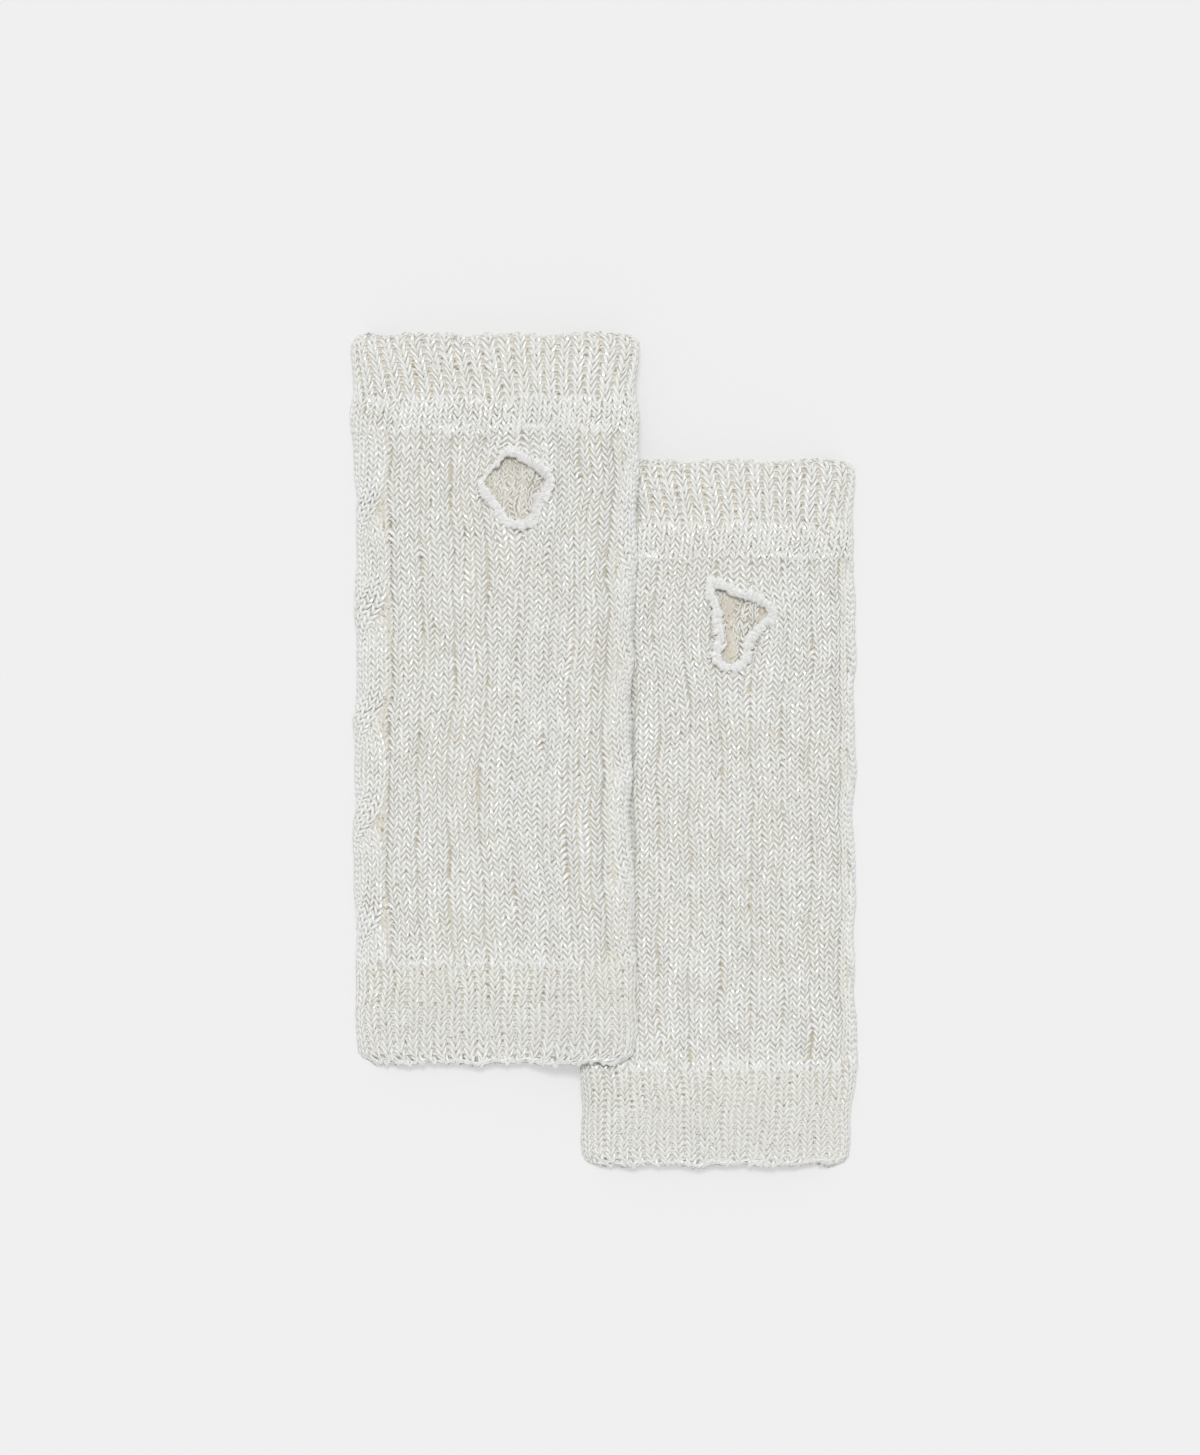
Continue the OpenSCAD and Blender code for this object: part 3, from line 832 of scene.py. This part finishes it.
purl_bumps = yarn_tree("purl bumps", PURL_LOOPS, 4, 4)
cuff_yarn = spun_yarn("cuff yarn", (0.93, 0.934, 0.902), (0.86, 0.861, 0.82), (0.89, 0.88, 0.835))
# the purl bars' yarn is the cuff yarn painted a little darker and warmer, as the shade where they sink
# between the knit wales
shaded_bar_yarn = spun_yarn("cuff purl yarn", (0.88, 0.87, 0.825), (0.81, 0.795, 0.74), (0.85, 0.83, 0.775))
# backs of the cuffs' loops: the same yarn painted darker tan as the shade between the stitches, with pits of
# painted shade; the cuff ground carries no tone, so it takes the deeper colour
shaded_cuff_backs = spun_yarn(
    "cuff loop backs", (0.77, 0.73, 0.645), (0.7, 0.65, 0.56), (0.8, 0.765, 0.69),
    plies=False, pit_shade=(0.42, 0.35, 0.25),
)


def wale_crown(tube, around):
    """Drop of a rib's knit wale from its crest to the purl wale beside it."""
    t = around * CUFF_WALES / tube.round
    return -CUFF_CROWN * np.abs(2 * (t - np.round(t))) ** 2.5


def welt_path(tube, along, out):
    """Height and depth of a point on the turned cuff, from its way along the rib and out from it."""
    low = tube.hand_top + SEAM_ZONE
    up = tube.finger_y - WELT_TURN - low
    a = np.clip((along - up) / WELT_TURN, 0, math.pi)
    past = np.maximum(along - up - math.pi * WELT_TURN, 0)
    y = low + np.minimum(along, up) + (WELT_TURN + out) * np.sin(a) - past
    return y, WELT_TURN - (WELT_TURN + out) * np.cos(a)


def edge_scallop(tube, around):
    """Small rise and fall of a cuff's open edge, the same in the upper and the under layer."""
    wrapped = np.mod(around + tube.round / 4, tube.round) - tube.round / 4
    across = np.where(wrapped > tube.round / 4, tube.round / 2 - wrapped, wrapped) / MM
    wales = 0.22 * np.cos(2 * math.pi * CUFF_WALES * across * MM / tube.round)
    return (wales + 0.4 * np.sin(across / 3.9) + 0.25 * np.sin(across / 1.7 + 2)) * MM


def cuff_wrap(tube, lift, crowned, around, along, out):
    s = around / tube.round
    slant = -0.16 * np.cos(2 * math.pi * (s + 0.13)) + 0.05 * np.sin(9 * math.pi * s)
    rise = np.minimum(along, tube.finger_y - tube.hand_top - SEAM_ZONE)
    bend = 0.35 * MM * np.sin(along / (4.4 * MM) + 21 * s) + slant * rise
    wave = 0.5 * MM * np.sin(38 * s) + 0.35 * MM * np.sin(91 * s + 1)
    lift_here = lift + wale_crown(tube, around) if crowned else lift
    y, depth = welt_path(tube, along + wave * ease(along / (6 * MM)), out + lift_here)
    y = y + edge_scallop(tube, around) * ease((y - tube.finger_y) / (7 * MM) + 1)
    return tube.place(around + bend, y, -depth)


def band_swell(tube, y):
    """Height by which the doubled fabric of the seam band stands proud."""
    return BAND_SWELL * np.sin(math.pi * np.clip((y - tube.hand_top) / SEAM_ZONE, 0, 1))


def ring_mesh(nets, material, inwards=False):
    """A closed ring of fabric over rows of points; inwards turns its faces the other way."""
    columns = len(nets[0])
    faces = []
    for j in range(len(nets)):
        low, high = j * columns, (j + 1) % len(nets) * columns
        for i in range(columns):
            k = (i + 1) % columns
            a, b, c, d = low + i, low + k, high + k, high + i
            faces.append((a, d, c, b) if inwards else (a, b, c, d))
    return smooth_mesh("ring", np.concatenate(nets), faces, material)


def ring_points(tube, count, y, depth):
    """Points round the glove at one height and one depth in its fabric."""
    around = np.arange(count) * tube.round / count
    return tube.place(around, np.full(count, y), np.full(count, -depth))


def cuff_ground(tube, profile):
    """The backs of a cuff's loops: a profile of (y, depth) points carried round the glove."""
    return ring_mesh([ring_points(tube, CUFF_COLUMNS, y, depth) for y, depth in profile], shaded_cuff_backs)


def turned_over(centre, radius, angles):
    return [(centre + radius * math.sin(a), WELT_TURN - radius * math.cos(a)) for a in angles]


for tube in tubes.values():
    low, centre = tube.hand_top, tube.finger_y - WELT_TURN
    up = centre - low - SEAM_ZONE
    turn = np.linspace(TURN_START, math.pi - TURN_START, 6)
    rows = np.linspace(low - GROUND_OVERLAP, centre, 24)
    outside = [(y, WELT_INSET - band_swell(tube, y)) for y in rows]
    over = turned_over(centre, WELT_TURN - WELT_INSET, turn)
    inside = [(low + SEAM_ZONE + t * up, WELT_DEPTH - WELT_INSET) for t in np.linspace(1, 0, 8)]
    back = [(y, depth - GROUND_THICKNESS) for y, depth in reversed(inside)]
    under = turned_over(centre, WELT_TURN - WELT_INSET - GROUND_THICKNESS, turn[::-1])
    down = [(y, depth + GROUND_THICKNESS) for y, depth in reversed(outside)]
    ground = cuff_ground(tube, outside + over + inside + back + under + down)
    new_piece("finger_cuff_ground", ground, tube, "finger_cuff")
    pitch = tube.round / CUFF_WALES
    length = up + math.pi * WELT_TURN + WELT_INSIDE_SHOWN
    wales = np.arange(CUFF_WALES) * pitch
    points = wale_points(wales, 0, length, CUFF_COURSE, 0.3, 31)
    wrap = partial(cuff_wrap, tube, YARN_LIFT, True)
    size = (CUFF_WALE_SHARE * pitch, CUFF_STRETCH * CUFF_COURSE, YARN_RADIUS)
    knit(
        "finger_cuff_rib", tube, knit_stitches, points, wrap, size, cuff_yarn,
        uneven=0.13, seed=7, threaded=True,
    )
    points = wale_points(wales + pitch / 2, 0, length, CUFF_COURSE, 0.3, 32)
    wrap = partial(cuff_wrap, tube, YARN_LIFT + PURL_SINK, False)
    size = (BAR_SHARE * pitch, CUFF_COURSE, BAR_RADIUS)
    knit(
        "finger_cuff_bars", tube, purl_bumps, points, wrap, size, shaded_bar_yarn, uneven=0.12, seed=8
    )

# Seam band under each finger cuff: a few rows of small tight stitches where the turned-in layer is
# linked to the outside, a little proud because the fabric is double there. The linking chain itself
# runs round the inside.
BAND_WALES = 62
BAND_COURSE = 1.62 * MM
BAND_STRETCH = 1.2
BAND_OVERLAP = 0.9 * MM
BAND_LEAN = 0.15
LINK_COUNT = 58
LINK_HEIGHT = 3.0 * MM
LINK_RADIUS = 0.55 * MM
LINK_DEPTH = WELT_DEPTH - 0.5 * MM


def seam_band_wrap(tube, around, along, out):
    s = around / tube.round
    wave = 0.3 * MM * np.sin(40 * s + 0.7) + 0.2 * MM * np.sin(97 * s)
    return tube.place(around + BAND_LEAN * along, along + wave, out + band_swell(tube, along) + YARN_LIFT)


def link_wrap(tube, around, along, out):
    """A row of chain that faces the inside of the tube."""
    return tube.place(-along, tube.hand_top + SEAM_ZONE - LINK_HEIGHT / 2 - around, -out - LINK_DEPTH)


def chain_points(tube, count):
    return np.column_stack([np.zeros(count), np.arange(count) * tube.round / count])


for tube in tubes.values():
    pitch = tube.round / BAND_WALES
    low, high = tube.hand_top - BAND_OVERLAP, tube.hand_top + SEAM_ZONE + BAND_OVERLAP
    points = wale_points(np.arange(BAND_WALES) * pitch, low, high, BAND_COURSE, 0.25, 41)
    wrap = partial(seam_band_wrap, tube)
    size = (pitch, BAND_STRETCH * BAND_COURSE, YARN_RADIUS)
    knit(
        "seam_band", tube, knit_stitches, points, wrap, size, cuff_yarn,
        uneven=0.2, seed=9, threaded=True,
    )
    size = (LINK_HEIGHT, tube.round / LINK_COUNT, LINK_RADIUS)
    points = chain_points(tube, LINK_COUNT)
    wrap = partial(link_wrap, tube)
    knit(
        "linking_chain", tube, knit_stitches, points, wrap, size, cuff_yarn,
        uneven=0.05, seed=10, stands_for="cuff_link_seam",
    )

# Wrist cuffs: a one-by-one rib in a single layer, so the purl wales of the outside stand up as knit
# wales on the inside. The last course is closed by a chain that rolls over the wrist edge.
WRIST_COURSE = {"upper": 1.76 * MM, "lower": 1.6 * MM}
WRIST_SLACK = {"upper": 1.2 * MM, "lower": 0.3 * MM}
WRIST_STRETCH = 1.25
WRIST_WALE_SHARE = 0.9
WRIST_INSET = 0.76 * MM
INSIDE_SHOWN = 14 * MM


def wrist_bend(tube, around, along):
    s = around / tube.round
    return 0.3 * MM * np.sin(along / (5.2 * MM) + 17 * s) + 0.25 * MM * np.sin(along / (2.3 * MM) - 33 * s)


def wrist_wrap(tube, lift, crowned, around, along, out):
    sag = edge_scallop(tube, around) - WRIST_SLACK[tube.side]
    wave = sag * ease((tube.wrist_y - along) / (9 * MM) + 1)
    if crowned:
        out = out + wale_crown(tube, around)
    return tube.place(around + wrist_bend(tube, around, along), along + wave, out + lift)


def wrist_inside_wrap(tube, around, along, out):
    bend = wrist_bend(tube, around, along)
    return tube.place(-around + bend, along, -HAND_WALL - out - YARN_LIFT)


for tube in tubes.values():
    low, high = tube.wrist_y + EDGE_HEIGHT, tube.hand_bottom
    rows = np.linspace(tube.wrist_y + 0.7 * MM, high + GROUND_OVERLAP, 14)
    profile = [(y, WRIST_INSET) for y in rows] + [(y, HAND_WALL - WRIST_INSET) for y in rows[::-1]]
    new_piece("wrist_cuff_ground", cuff_ground(tube, profile), tube, "wrist_cuff")
    course = WRIST_COURSE[tube.side]
    pitch = tube.round / CUFF_WALES
    wales = np.arange(CUFF_WALES) * pitch
    points = wale_points(wales, low - 1.5 * MM, high + 0.9 * MM, course, 0.2, 51)
    wrap = partial(wrist_wrap, tube, YARN_LIFT, True)
    size = (WRIST_WALE_SHARE * pitch, WRIST_STRETCH * course, YARN_RADIUS)
    knit(
        "wrist_rib", tube, knit_stitches, points, wrap, size, cuff_yarn,
        uneven=0.13, seed=12, threaded=True,
    )
    points = wale_points(wales + pitch / 2, low, high, course, 0.2, 52)
    wrap = partial(wrist_wrap, tube, YARN_LIFT + PURL_SINK, False)
    size = (BAR_SHARE * pitch, course, BAR_RADIUS)
    knit("wrist_bars", tube, purl_bumps, points, wrap, size, shaded_bar_yarn, uneven=0.12, seed=13)
    points = wale_points(-wales - pitch / 2, low, low + INSIDE_SHOWN, course, 0.2, 53)
    wrap = partial(wrist_inside_wrap, tube)
    size = (CUFF_WALE_SHARE * pitch, course, YARN_RADIUS)
    knit(
        "wrist_rib_inside", tube, plain_stitches, points, wrap, size, cuff_yarn,
        uneven=0.08, seed=14,
    )

# Wrist edges: three rows of chain side by side roll over the last course of the rib, one on the
# outside, one along the very edge and one inside.
EDGE_ROLL = HAND_WALL / 2
EDGE_LINKS = 60
EDGE_WIDTH = 1.9 * MM
EDGE_STRETCH = 1.2
EDGE_ROWS = {"outside": (1.0 * MM, 15), "rim": (0.1 * MM, 18), "inside": (-1.2 * MM, 21)}


def edge_wrap(tube, row, around, along, out):
    way = row - around
    turn = np.clip(way / EDGE_ROLL, -math.pi / 2, math.pi / 2)
    past = np.abs(way) - EDGE_ROLL * math.pi / 2
    reach = EDGE_ROLL + out - YARN_RADIUS
    y = tube.wrist_y + EDGE_ROLL - reach * np.cos(turn) + np.maximum(past, 0)
    y = y + edge_scallop(tube, along) - WRIST_SLACK[tube.side]
    return tube.place(along, y, reach * np.sin(turn) - EDGE_ROLL)


for tube in tubes.values():
    size = (EDGE_WIDTH, EDGE_STRETCH * tube.round / EDGE_LINKS, YARN_RADIUS)
    points = chain_points(tube, EDGE_LINKS)
    for side, (row, seed) in EDGE_ROWS.items():
        wrap = partial(edge_wrap, tube, row)
        knit(
            "wrist_edge_" + side, tube, knit_stitches, points, wrap, size, cuff_yarn,
            uneven=0.2, seed=seed, stands_for="wrist_edge" if side == "outside" else None,
        )

# Elastic yarn: three thin rings of covered rubber thread laid into each cuff, between the two layers
# at the fingers and along the inside at the wrist. White cover wound in a fine spiral.
ELASTIC_RADIUS = 0.2 * MM
ELASTIC_RINGS = 3
RING_STEPS = 84
elastic_cover = spun_yarn(
    "elastic cover", (0.86, 0.85, 0.82), (0.8, 0.79, 0.75), (0.82, 0.8, 0.76), fuzz=0.1, plies=False
)


def elastic_tree():
    """Geometry Nodes tree that runs a thread along each ring."""
    tree, given = start_tree("elastic rings", "Path", ["Thread Radius"], seeded=False)
    path = node(tree, "GeometryNodeMeshToCurve", {"Mesh": given["Path"]}).outputs["Curve"]
    return end_tree(tree, given, round_yarn(tree, path, circle(tree, 6, given["Thread Radius"]), {}))


elastic_rings = elastic_tree()


def loop_mesh(points, loops=1):
    """Closed loops of equally many points, joined by edges."""
    count = len(points) // loops
    edges = [(k * count + i, k * count + (i + 1) % count) for k in range(loops) for i in range(count)]
    mesh = bpy.data.meshes.new("loops")
    mesh.from_pydata(points.tolist(), edges, [])
    return mesh


for tube in tubes.values():
    thirds = (np.arange(ELASTIC_RINGS) + 0.5) / ELASTIC_RINGS
    spots = {
        "finger": (tube.hand_top + SEAM_ZONE, tube.finger_y - CORNER_RADIUS, WELT_DEPTH / 2),
        "wrist": (tube.wrist_y + CORNER_RADIUS, tube.hand_bottom, HAND_WALL - ELASTIC_RADIUS),
    }
    for cuff, (low, high, depth) in spots.items():
        heights = low + thirds * (high - low)
        points = np.concatenate([ring_points(tube, RING_STEPS, y, depth) for y in heights])
        points[:, 2] = np.maximum(points[:, 2], ELASTIC_RADIUS)
        sizes = {"Thread Radius": ELASTIC_RADIUS, "Yarn": elastic_cover}
        mesh = run_tree(elastic_rings, loop_mesh(points, ELASTIC_RINGS), sizes)
        new_piece(cuff + "_elastic_thread", mesh, tube, cuff + "_elastic")

# Thumb edging: an overlocked border of white thread wrapped close together over the cut edge of the
# hole, from a lip on the upper face round the rim to a lip on the under face.
EDGING_RIM = 1.2 * MM
EDGING_LIP = 1.9 * MM
EDGING_RIM_POINT = (0.3 * MM - EDGING_RIM, 0, -0.7 * MM)
EDGING_TURNS = [
    ((1.05 * EDGING_LIP, 0, -0.4 * MM), (0.4 * EDGING_RIM, 0, 1.6 * MM), EDGING_RIM_POINT),
    (EDGING_RIM_POINT, (-0.6 * EDGING_RIM, 0, -2.5 * MM), (0.8 * EDGING_LIP, 0, -1.9 * MM)),
]
WRAP_RADIUS = 0.2 * MM
WRAP_SPACING = 0.25 * MM
WRAP_SLANT = 0.9
edging_yarn = spun_yarn(
    "edging thread", (0.97, 0.968, 0.95), (0.92, 0.917, 0.893), (0.95, 0.943, 0.92), fuzz=0.5, plies=False
)

# Where the fabric rolls over the border and hides most of it: the way there from the hole's middle,
# and the share that is hidden
EDGING_HIDDEN = {"upper": (math.radians(142), 0.62), "lower": (math.radians(250), 0.1)}


def edging_path(tube, way):
    """Middle of the border, and the way out from the hole at each point of it."""
    loop = tube.thumb_loop
    ahead = np.roll(loop, -1, axis=0) - np.roll(loop, 1, axis=0)
    ahead = ahead / np.linalg.norm(ahead, axis=1)[:, None]
    away = np.column_stack([ahead[:, 1], -ahead[:, 0]])
    if np.sum(away * (loop - tube.thumb)) < 0:
        away = -away
    stray = 0.16 * (np.sin(9 * way) * np.sin(2 * way) + np.sin(23 * way + 1) + np.sin(41 * way))
    return loop + away * stray[:, None] * MM, away


def edging_breadth(tube, loop, way):
    """Breadth of the border round the hole as a share of its full size, uneven as hand-guided work is."""
    turn, share = EDGING_HIDDEN[tube.side]
    off = np.arctan2(loop[:, 1] - tube.thumb[1], loop[:, 0] - tube.thumb[0]) - turn
    off = np.mod(off + math.pi, 2 * math.pi) - math.pi
    uneven = 0.1 * np.sin(7 * way + 1) + 0.12 * np.sin(17 * way)
    uneven = uneven + 0.12 * np.sin(31 * way + 2) + 0.1 * np.sin(53 * way)
    return 1.02 + uneven - share * bell(off / 0.55)


def edging_tree():
    """Geometry Nodes tree that wraps turns of thread round a loop laid flat."""
    tree, given = start_tree("overlocked edging", "Loop", ("Wrap Spacing", "Thread Radius", "Slant"))
    section = circle(tree, 5, given["Thread Radius"])
    turn = round_yarn(tree, bent_legs(tree, EDGING_TURNS, 5), section, {"Fill Caps": True})
    loop = node(tree, "GeometryNodeMeshToCurve", {"Mesh": given["Loop"]}).outputs["Curve"]
    spacing = {"Curve": loop, "Length": given["Wrap Spacing"]}
    spaced = node(tree, "GeometryNodeResampleCurve", spacing, mode="LENGTH").outputs["Curve"]
    along = node(tree, "GeometryNodeInputTangent").outputs["Tangent"]
    facing = node(tree, "FunctionNodeAlignRotationToVector", {"Vector": along}, axis="Y", pivot_axis="Z")
    breadth = node(tree, "GeometryNodeInputNamedAttribute", {"Name": "breadth"}, data_type="FLOAT").outputs[0]
    size = reckon(tree, "MULTIPLY", chance(tree, given, 7.0, 0.75, 1.12), breadth)
    wraps = planted(tree, spaced, turn, facing.outputs["Rotation"], Scale=size)
    slant = chance(tree, given, 0.0, reckon(tree, "MULTIPLY", given["Slant"], -1.0), given["Slant"])
    leaning = {"Instances": wraps, "Rotation": vector(tree, z=slant)}
    slanted = node(tree, "GeometryNodeRotateInstances", leaning).outputs["Instances"]
    return end_tree(tree, given, own_tones(tree, given, slanted))


edging_wraps = edging_tree()


def edging_wrap(tube, x, y, out):
    around = x - tube.centre_x
    around = around + x - tube.place(around, y, 0 * out)[:, 0]
    return tube.place(around, y, out)


# Soft roll of loose fibre that the wraps hold down: across the border and up, in millimetres
ROLL_PROFILE = [
    (1.9, -0.5), (1.75, 0.05), (1.2, 0.42), (0.5, 0.55), (-0.2, 0.42),
    (-0.75, 0.0), (-0.95, -0.7), (-0.75, -1.5), (0.3, -2.0), (1.5, -1.9),
]

for tube in tubes.values():
    count = len(tube.thumb_loop)
    way = np.arange(count) / count * 2 * math.pi
    border, away = edging_path(tube, way)
    wide = edging_breadth(tube, border, way)
    nets = []
    for across, up in ROLL_PROFILE:
        edge = border + away * (across * wide)[:, None] * MM
        nets.append(edging_wrap(tube, edge[:, 0], edge[:, 1], up * wide * MM))
    new_piece("thumb_roll", ring_mesh(nets, edging_yarn, inwards=True), tube)
    # the loop runs clockwise from above, so the right of its way is the hole and +X of a wrap points out
    loop = loop_mesh(np.column_stack([border, np.zeros(count)])[::-1])
    breadth = edging_breadth(tube, tube.thumb_loop, way)[::-1].astype(np.float32)
    loop.attributes.new("breadth", "FLOAT", "POINT").data.foreach_set("value", breadth)
    sizes = {"Wrap Spacing": WRAP_SPACING, "Thread Radius": WRAP_RADIUS, "Slant": WRAP_SLANT}
    sizes |= {"Seed": 5, "Yarn": edging_yarn}
    mesh = lay_on(run_tree(edging_wraps, loop, sizes), partial(edging_wrap, tube))
    new_piece("thumb_overlock", mesh, tube, "thumb_edging")

# Metallic thread: a fine flat film knitted in with the yarn. It shows only where it lies over a leg of
# a stitch: a turn of the twisted film, seen as a tiny lozenge that flashes when it faces the light.
# A few strips are painted near black, as painted dark reflections.
FILM_LENGTH = 0.58 * MM
FILM_WIDTH = 0.34 * MM
FILM_THICKNESS = 0.05 * MM
FILM_LIFT = 1.15 * YARN_RADIUS
FILM_SPREAD = 0.26
FILM_TILT = 0.25
FILM_TURN = 0.3
FILM_SHARE = 0.5
LEG_LEAN = {1.0: -0.6, -1.0: 0.6}
film, film_nodes, film_shader = new_material("metallic film")
# strips of the lowest tones are painted dark, down to near black, as painted dark reflections; the rest are
# pale silver
film_tone_with_dark_glints = mapped(film_nodes, stored(film_nodes, "tone"), 0.0, 0.07, 0.04, 0.97)
film_grey_with_dark_glints = vector(film_nodes, film_tone_with_dark_glints, film_tone_with_dark_glints, film_tone_with_dark_glints)
film_finish = {"Base Color": film_grey_with_dark_glints, "Metallic": 0.85, "Roughness": 0.35, "Specular IOR Level": 1.0}
feed(film_nodes, film_shader, film_finish)


def cone(tree, corners, radius, depth):
    feeds = {"Vertices": corners, "Radius Top": 0.0, "Radius Bottom": radius, "Depth": depth}
    return node(tree, "GeometryNodeMeshCone", feeds, fill_type="NGON").outputs["Mesh"]


def film_tree():
    """Geometry Nodes tree that lays a strip of film over one leg of some of the stitches of a swatch."""
    tree, given = start_tree("metallic film", "Points", ("Leg Offset", "Leg Height", "Tilt", "Share"))
    shaped = {"Geometry": cone(tree, 4, FILM_WIDTH / 2, FILM_THICKNESS)}
    shaped |= {"Rotation": (math.pi, 0, 0), "Scale": (1, FILM_LENGTH / FILM_WIDTH, 1)}
    strip = node(tree, "GeometryNodeTransform", shaped).outputs["Geometry"]
    joined = node(tree, "GeometryNodeJoinGeometry")
    most = vector(tree, given["Tilt"], given["Tilt"], FILM_TURN)
    least = scaled(tree, most, -1.0)
    for leg, lean in LEG_LEAN.items():
        pick = {"Probability": given["Share"], "Seed": reckon(tree, "ADD", given["Seed"], 5.0 + leg)}
        chosen = node(tree, "FunctionNodeRandomValue", pick, data_type="BOOLEAN").outputs[3]
        spot = vector(tree, reckon(tree, "MULTIPLY", given["Leg Offset"], leg), z=given["Leg Height"])
        moved = node(tree, "GeometryNodeSetPosition", {"Geometry": given["Points"], "Offset": spot})
        tilt = chance(tree, given, 16.0 + leg, least, most, "FLOAT_VECTOR")
        leaning = node(tree, "ShaderNodeVectorMath", {0: tilt, 1: (0, 0, lean)}, operation="ADD")
        turns = planted(tree, moved.outputs["Geometry"], strip, leaning.outputs["Vector"], Selection=chosen)
        tree.links.new(turns, joined.inputs["Geometry"])
    return end_tree(tree, given, own_tones(tree, given, joined.outputs["Geometry"]))


film_strips = film_tree()

for tube in tubes.values():
    for number, (points, wrap, width) in enumerate(tube.threaded):
        sizes = {"Leg Offset": FILM_SPREAD * width, "Leg Height": FILM_LIFT, "Tilt": FILM_TILT}
        sizes |= {"Share": FILM_SHARE, "Seed": 40 + 7 * number, "Yarn": film}
        mesh = lay_on(run_tree(film_strips, swatch_mesh(points), sizes), wrap)
        new_piece("metallic_film_" + str(number), mesh, tube)

# Loose fibres: ends of the spun yarn that stand out of the stitches all over the gloves, as on any
# soft knit. Fine tapered hairs of the same yarn, lying close to the fabric.
FIBRE_LENGTH = 1.7 * MM
FIBRE_RADIUS = 0.04 * MM
FIBRE_COUNT = 20000
FIBRE_SINK = 0.15 * MM
FIBRE_MARGIN = 1.5 * MM
FIBRE_LEAN = (1.1, 1.52)
fibre_yarn = spun_yarn(
    "loose fibres", (0.93, 0.93, 0.90), (0.86, 0.86, 0.82), (0.89, 0.88, 0.84), plies=False
)


def fibre_tree():
    """Geometry Nodes tree that sets one leaning hair on each point of a swatch."""
    tree, given = start_tree("loose fibres", "Points", ("Fibre Length", "Fibre Radius"))
    hair = cone(tree, 3, given["Fibre Radius"], given["Fibre Length"])
    least, most = FIBRE_LEAN
    lean = chance(tree, given, 0.0, (least, 0.0, 0.0), (most, 0.0, 2 * math.pi), "FLOAT_VECTOR")
    size = chance(tree, given, 7.0, 0.5, 1.15)
    hairs = planted(tree, given["Points"], hair, lean, Scale=size)
    return end_tree(tree, given, own_tones(tree, given, hairs))


loose_fibres = fibre_tree()

for number, tube in enumerate(tubes.values()):
    rng = np.random.default_rng(61 + number)
    around = rng.uniform(0, tube.round, FIBRE_COUNT)
    along = rng.uniform(tube.wrist_y + 0.5 * MM, tube.finger_y - 0.5 * MM, FIBRE_COUNT)
    wrap = partial(fabric_wrap, tube, 1.0, -FIBRE_SINK)
    points = clear_of_thumb(tube, np.column_stack([around, along]), wrap, FIBRE_MARGIN)
    sizes = {"Fibre Length": FIBRE_LENGTH, "Fibre Radius": FIBRE_RADIUS}
    sizes |= {"Seed": 71 + number, "Yarn": fibre_yarn}
    mesh = lay_on(run_tree(loose_fibres, swatch_mesh(points), sizes), wrap)
    new_piece("loose_fibres", mesh, tube)

# Table, daylight and camera: a pale sheet under the gloves, soft light from the top and a
# long lens straight above, as for a catalogue picture.
FLOOR_COLOUR = (0.871, 0.871, 0.871, 1)
FLOOR_REACH = 3
GLOW_SHARE = 0.5
SKY_LIGHT = 0.55
SKY_SEEN = 0.871


def seen_rays(tree):
    """One where a surface is looked at, straight, in a reflection or through glass; else none."""
    rays = node(tree, "ShaderNodeLightPath").outputs
    seen = reckon(tree, "MAXIMUM", rays["Is Camera Ray"], rays["Is Glossy Ray"])
    return reckon(tree, "MAXIMUM", seen, rays["Is Transmission Ray"])


corners = [(x * FLOOR_REACH, y * FLOOR_REACH, 0) for x, y in ((-1, -1), (1, -1), (1, 1), (-1, 1))]
floor_mesh = bpy.data.meshes.new("table")
floor_mesh.from_pydata(corners, [], [(0, 1, 2, 3)])
floor = put_in("table", floor_mesh)
paper, paper_nodes, paper_shader = new_material("pale paper")
feed(paper_nodes, paper_shader, {"Base Color": FLOOR_COLOUR, "Roughness": 0.9, "Specular IOR Level": 0.0})
paper_glow = node(paper_nodes, "ShaderNodeEmission", {"Color": FLOOR_COLOUR, "Strength": 1.0})
glowing = reckon(paper_nodes, "MULTIPLY", seen_rays(paper_nodes), GLOW_SHARE)
both = {0: glowing, 1: paper_shader.outputs["BSDF"], 2: paper_glow.outputs["Emission"]}
lit = node(paper_nodes, "ShaderNodeMixShader", both)
feed(paper_nodes, paper_nodes.nodes["Material Output"], {"Surface": lit.outputs["Shader"]})
floor_mesh.materials.append(paper)

world = bpy.data.worlds.new("daylight")
bpy.context.scene.world = world
world.use_nodes = True
sky_nodes = world.node_tree
sky_strength = reckon(sky_nodes, "MULTIPLY_ADD", seen_rays(sky_nodes), SKY_SEEN - SKY_LIGHT, SKY_LIGHT)
feed(sky_nodes, sky_nodes.nodes["Background"], {"Color": (1, 1, 1, 1), "Strength": sky_strength})
SUN_ELEVATION = math.radians(70)
SUN_FROM = math.radians(92)
SUN_LIGHT = 0.45
sun_data = bpy.data.lights.new("window", "SUN")
sun_data.energy = SUN_LIGHT * math.pi / math.sin(SUN_ELEVATION)
sun_data.angle = math.radians(16)
sun = put_in("window", sun_data)
sun.rotation_euler = (0, math.pi / 2 - SUN_ELEVATION, SUN_FROM)

PHOTO_HEIGHT = 407.4 * MM
PHOTO_CENTRE = (-0.7 * MM, 6.16 * MM)
CAMERA_HEIGHT = 1.9
SENSOR_WIDTH = 36
camera_data = bpy.data.cameras.new("camera")
camera = put_in("camera", camera_data)
camera_data.sensor_width = SENSOR_WIDTH
camera_data.lens = SENSOR_WIDTH * (CAMERA_HEIGHT - LAY_HEIGHT) / PHOTO_HEIGHT
camera.location = (*PHOTO_CENTRE, CAMERA_HEIGHT)
bpy.context.scene.camera = camera
bpy.context.scene.view_settings.view_transform = "Standard"
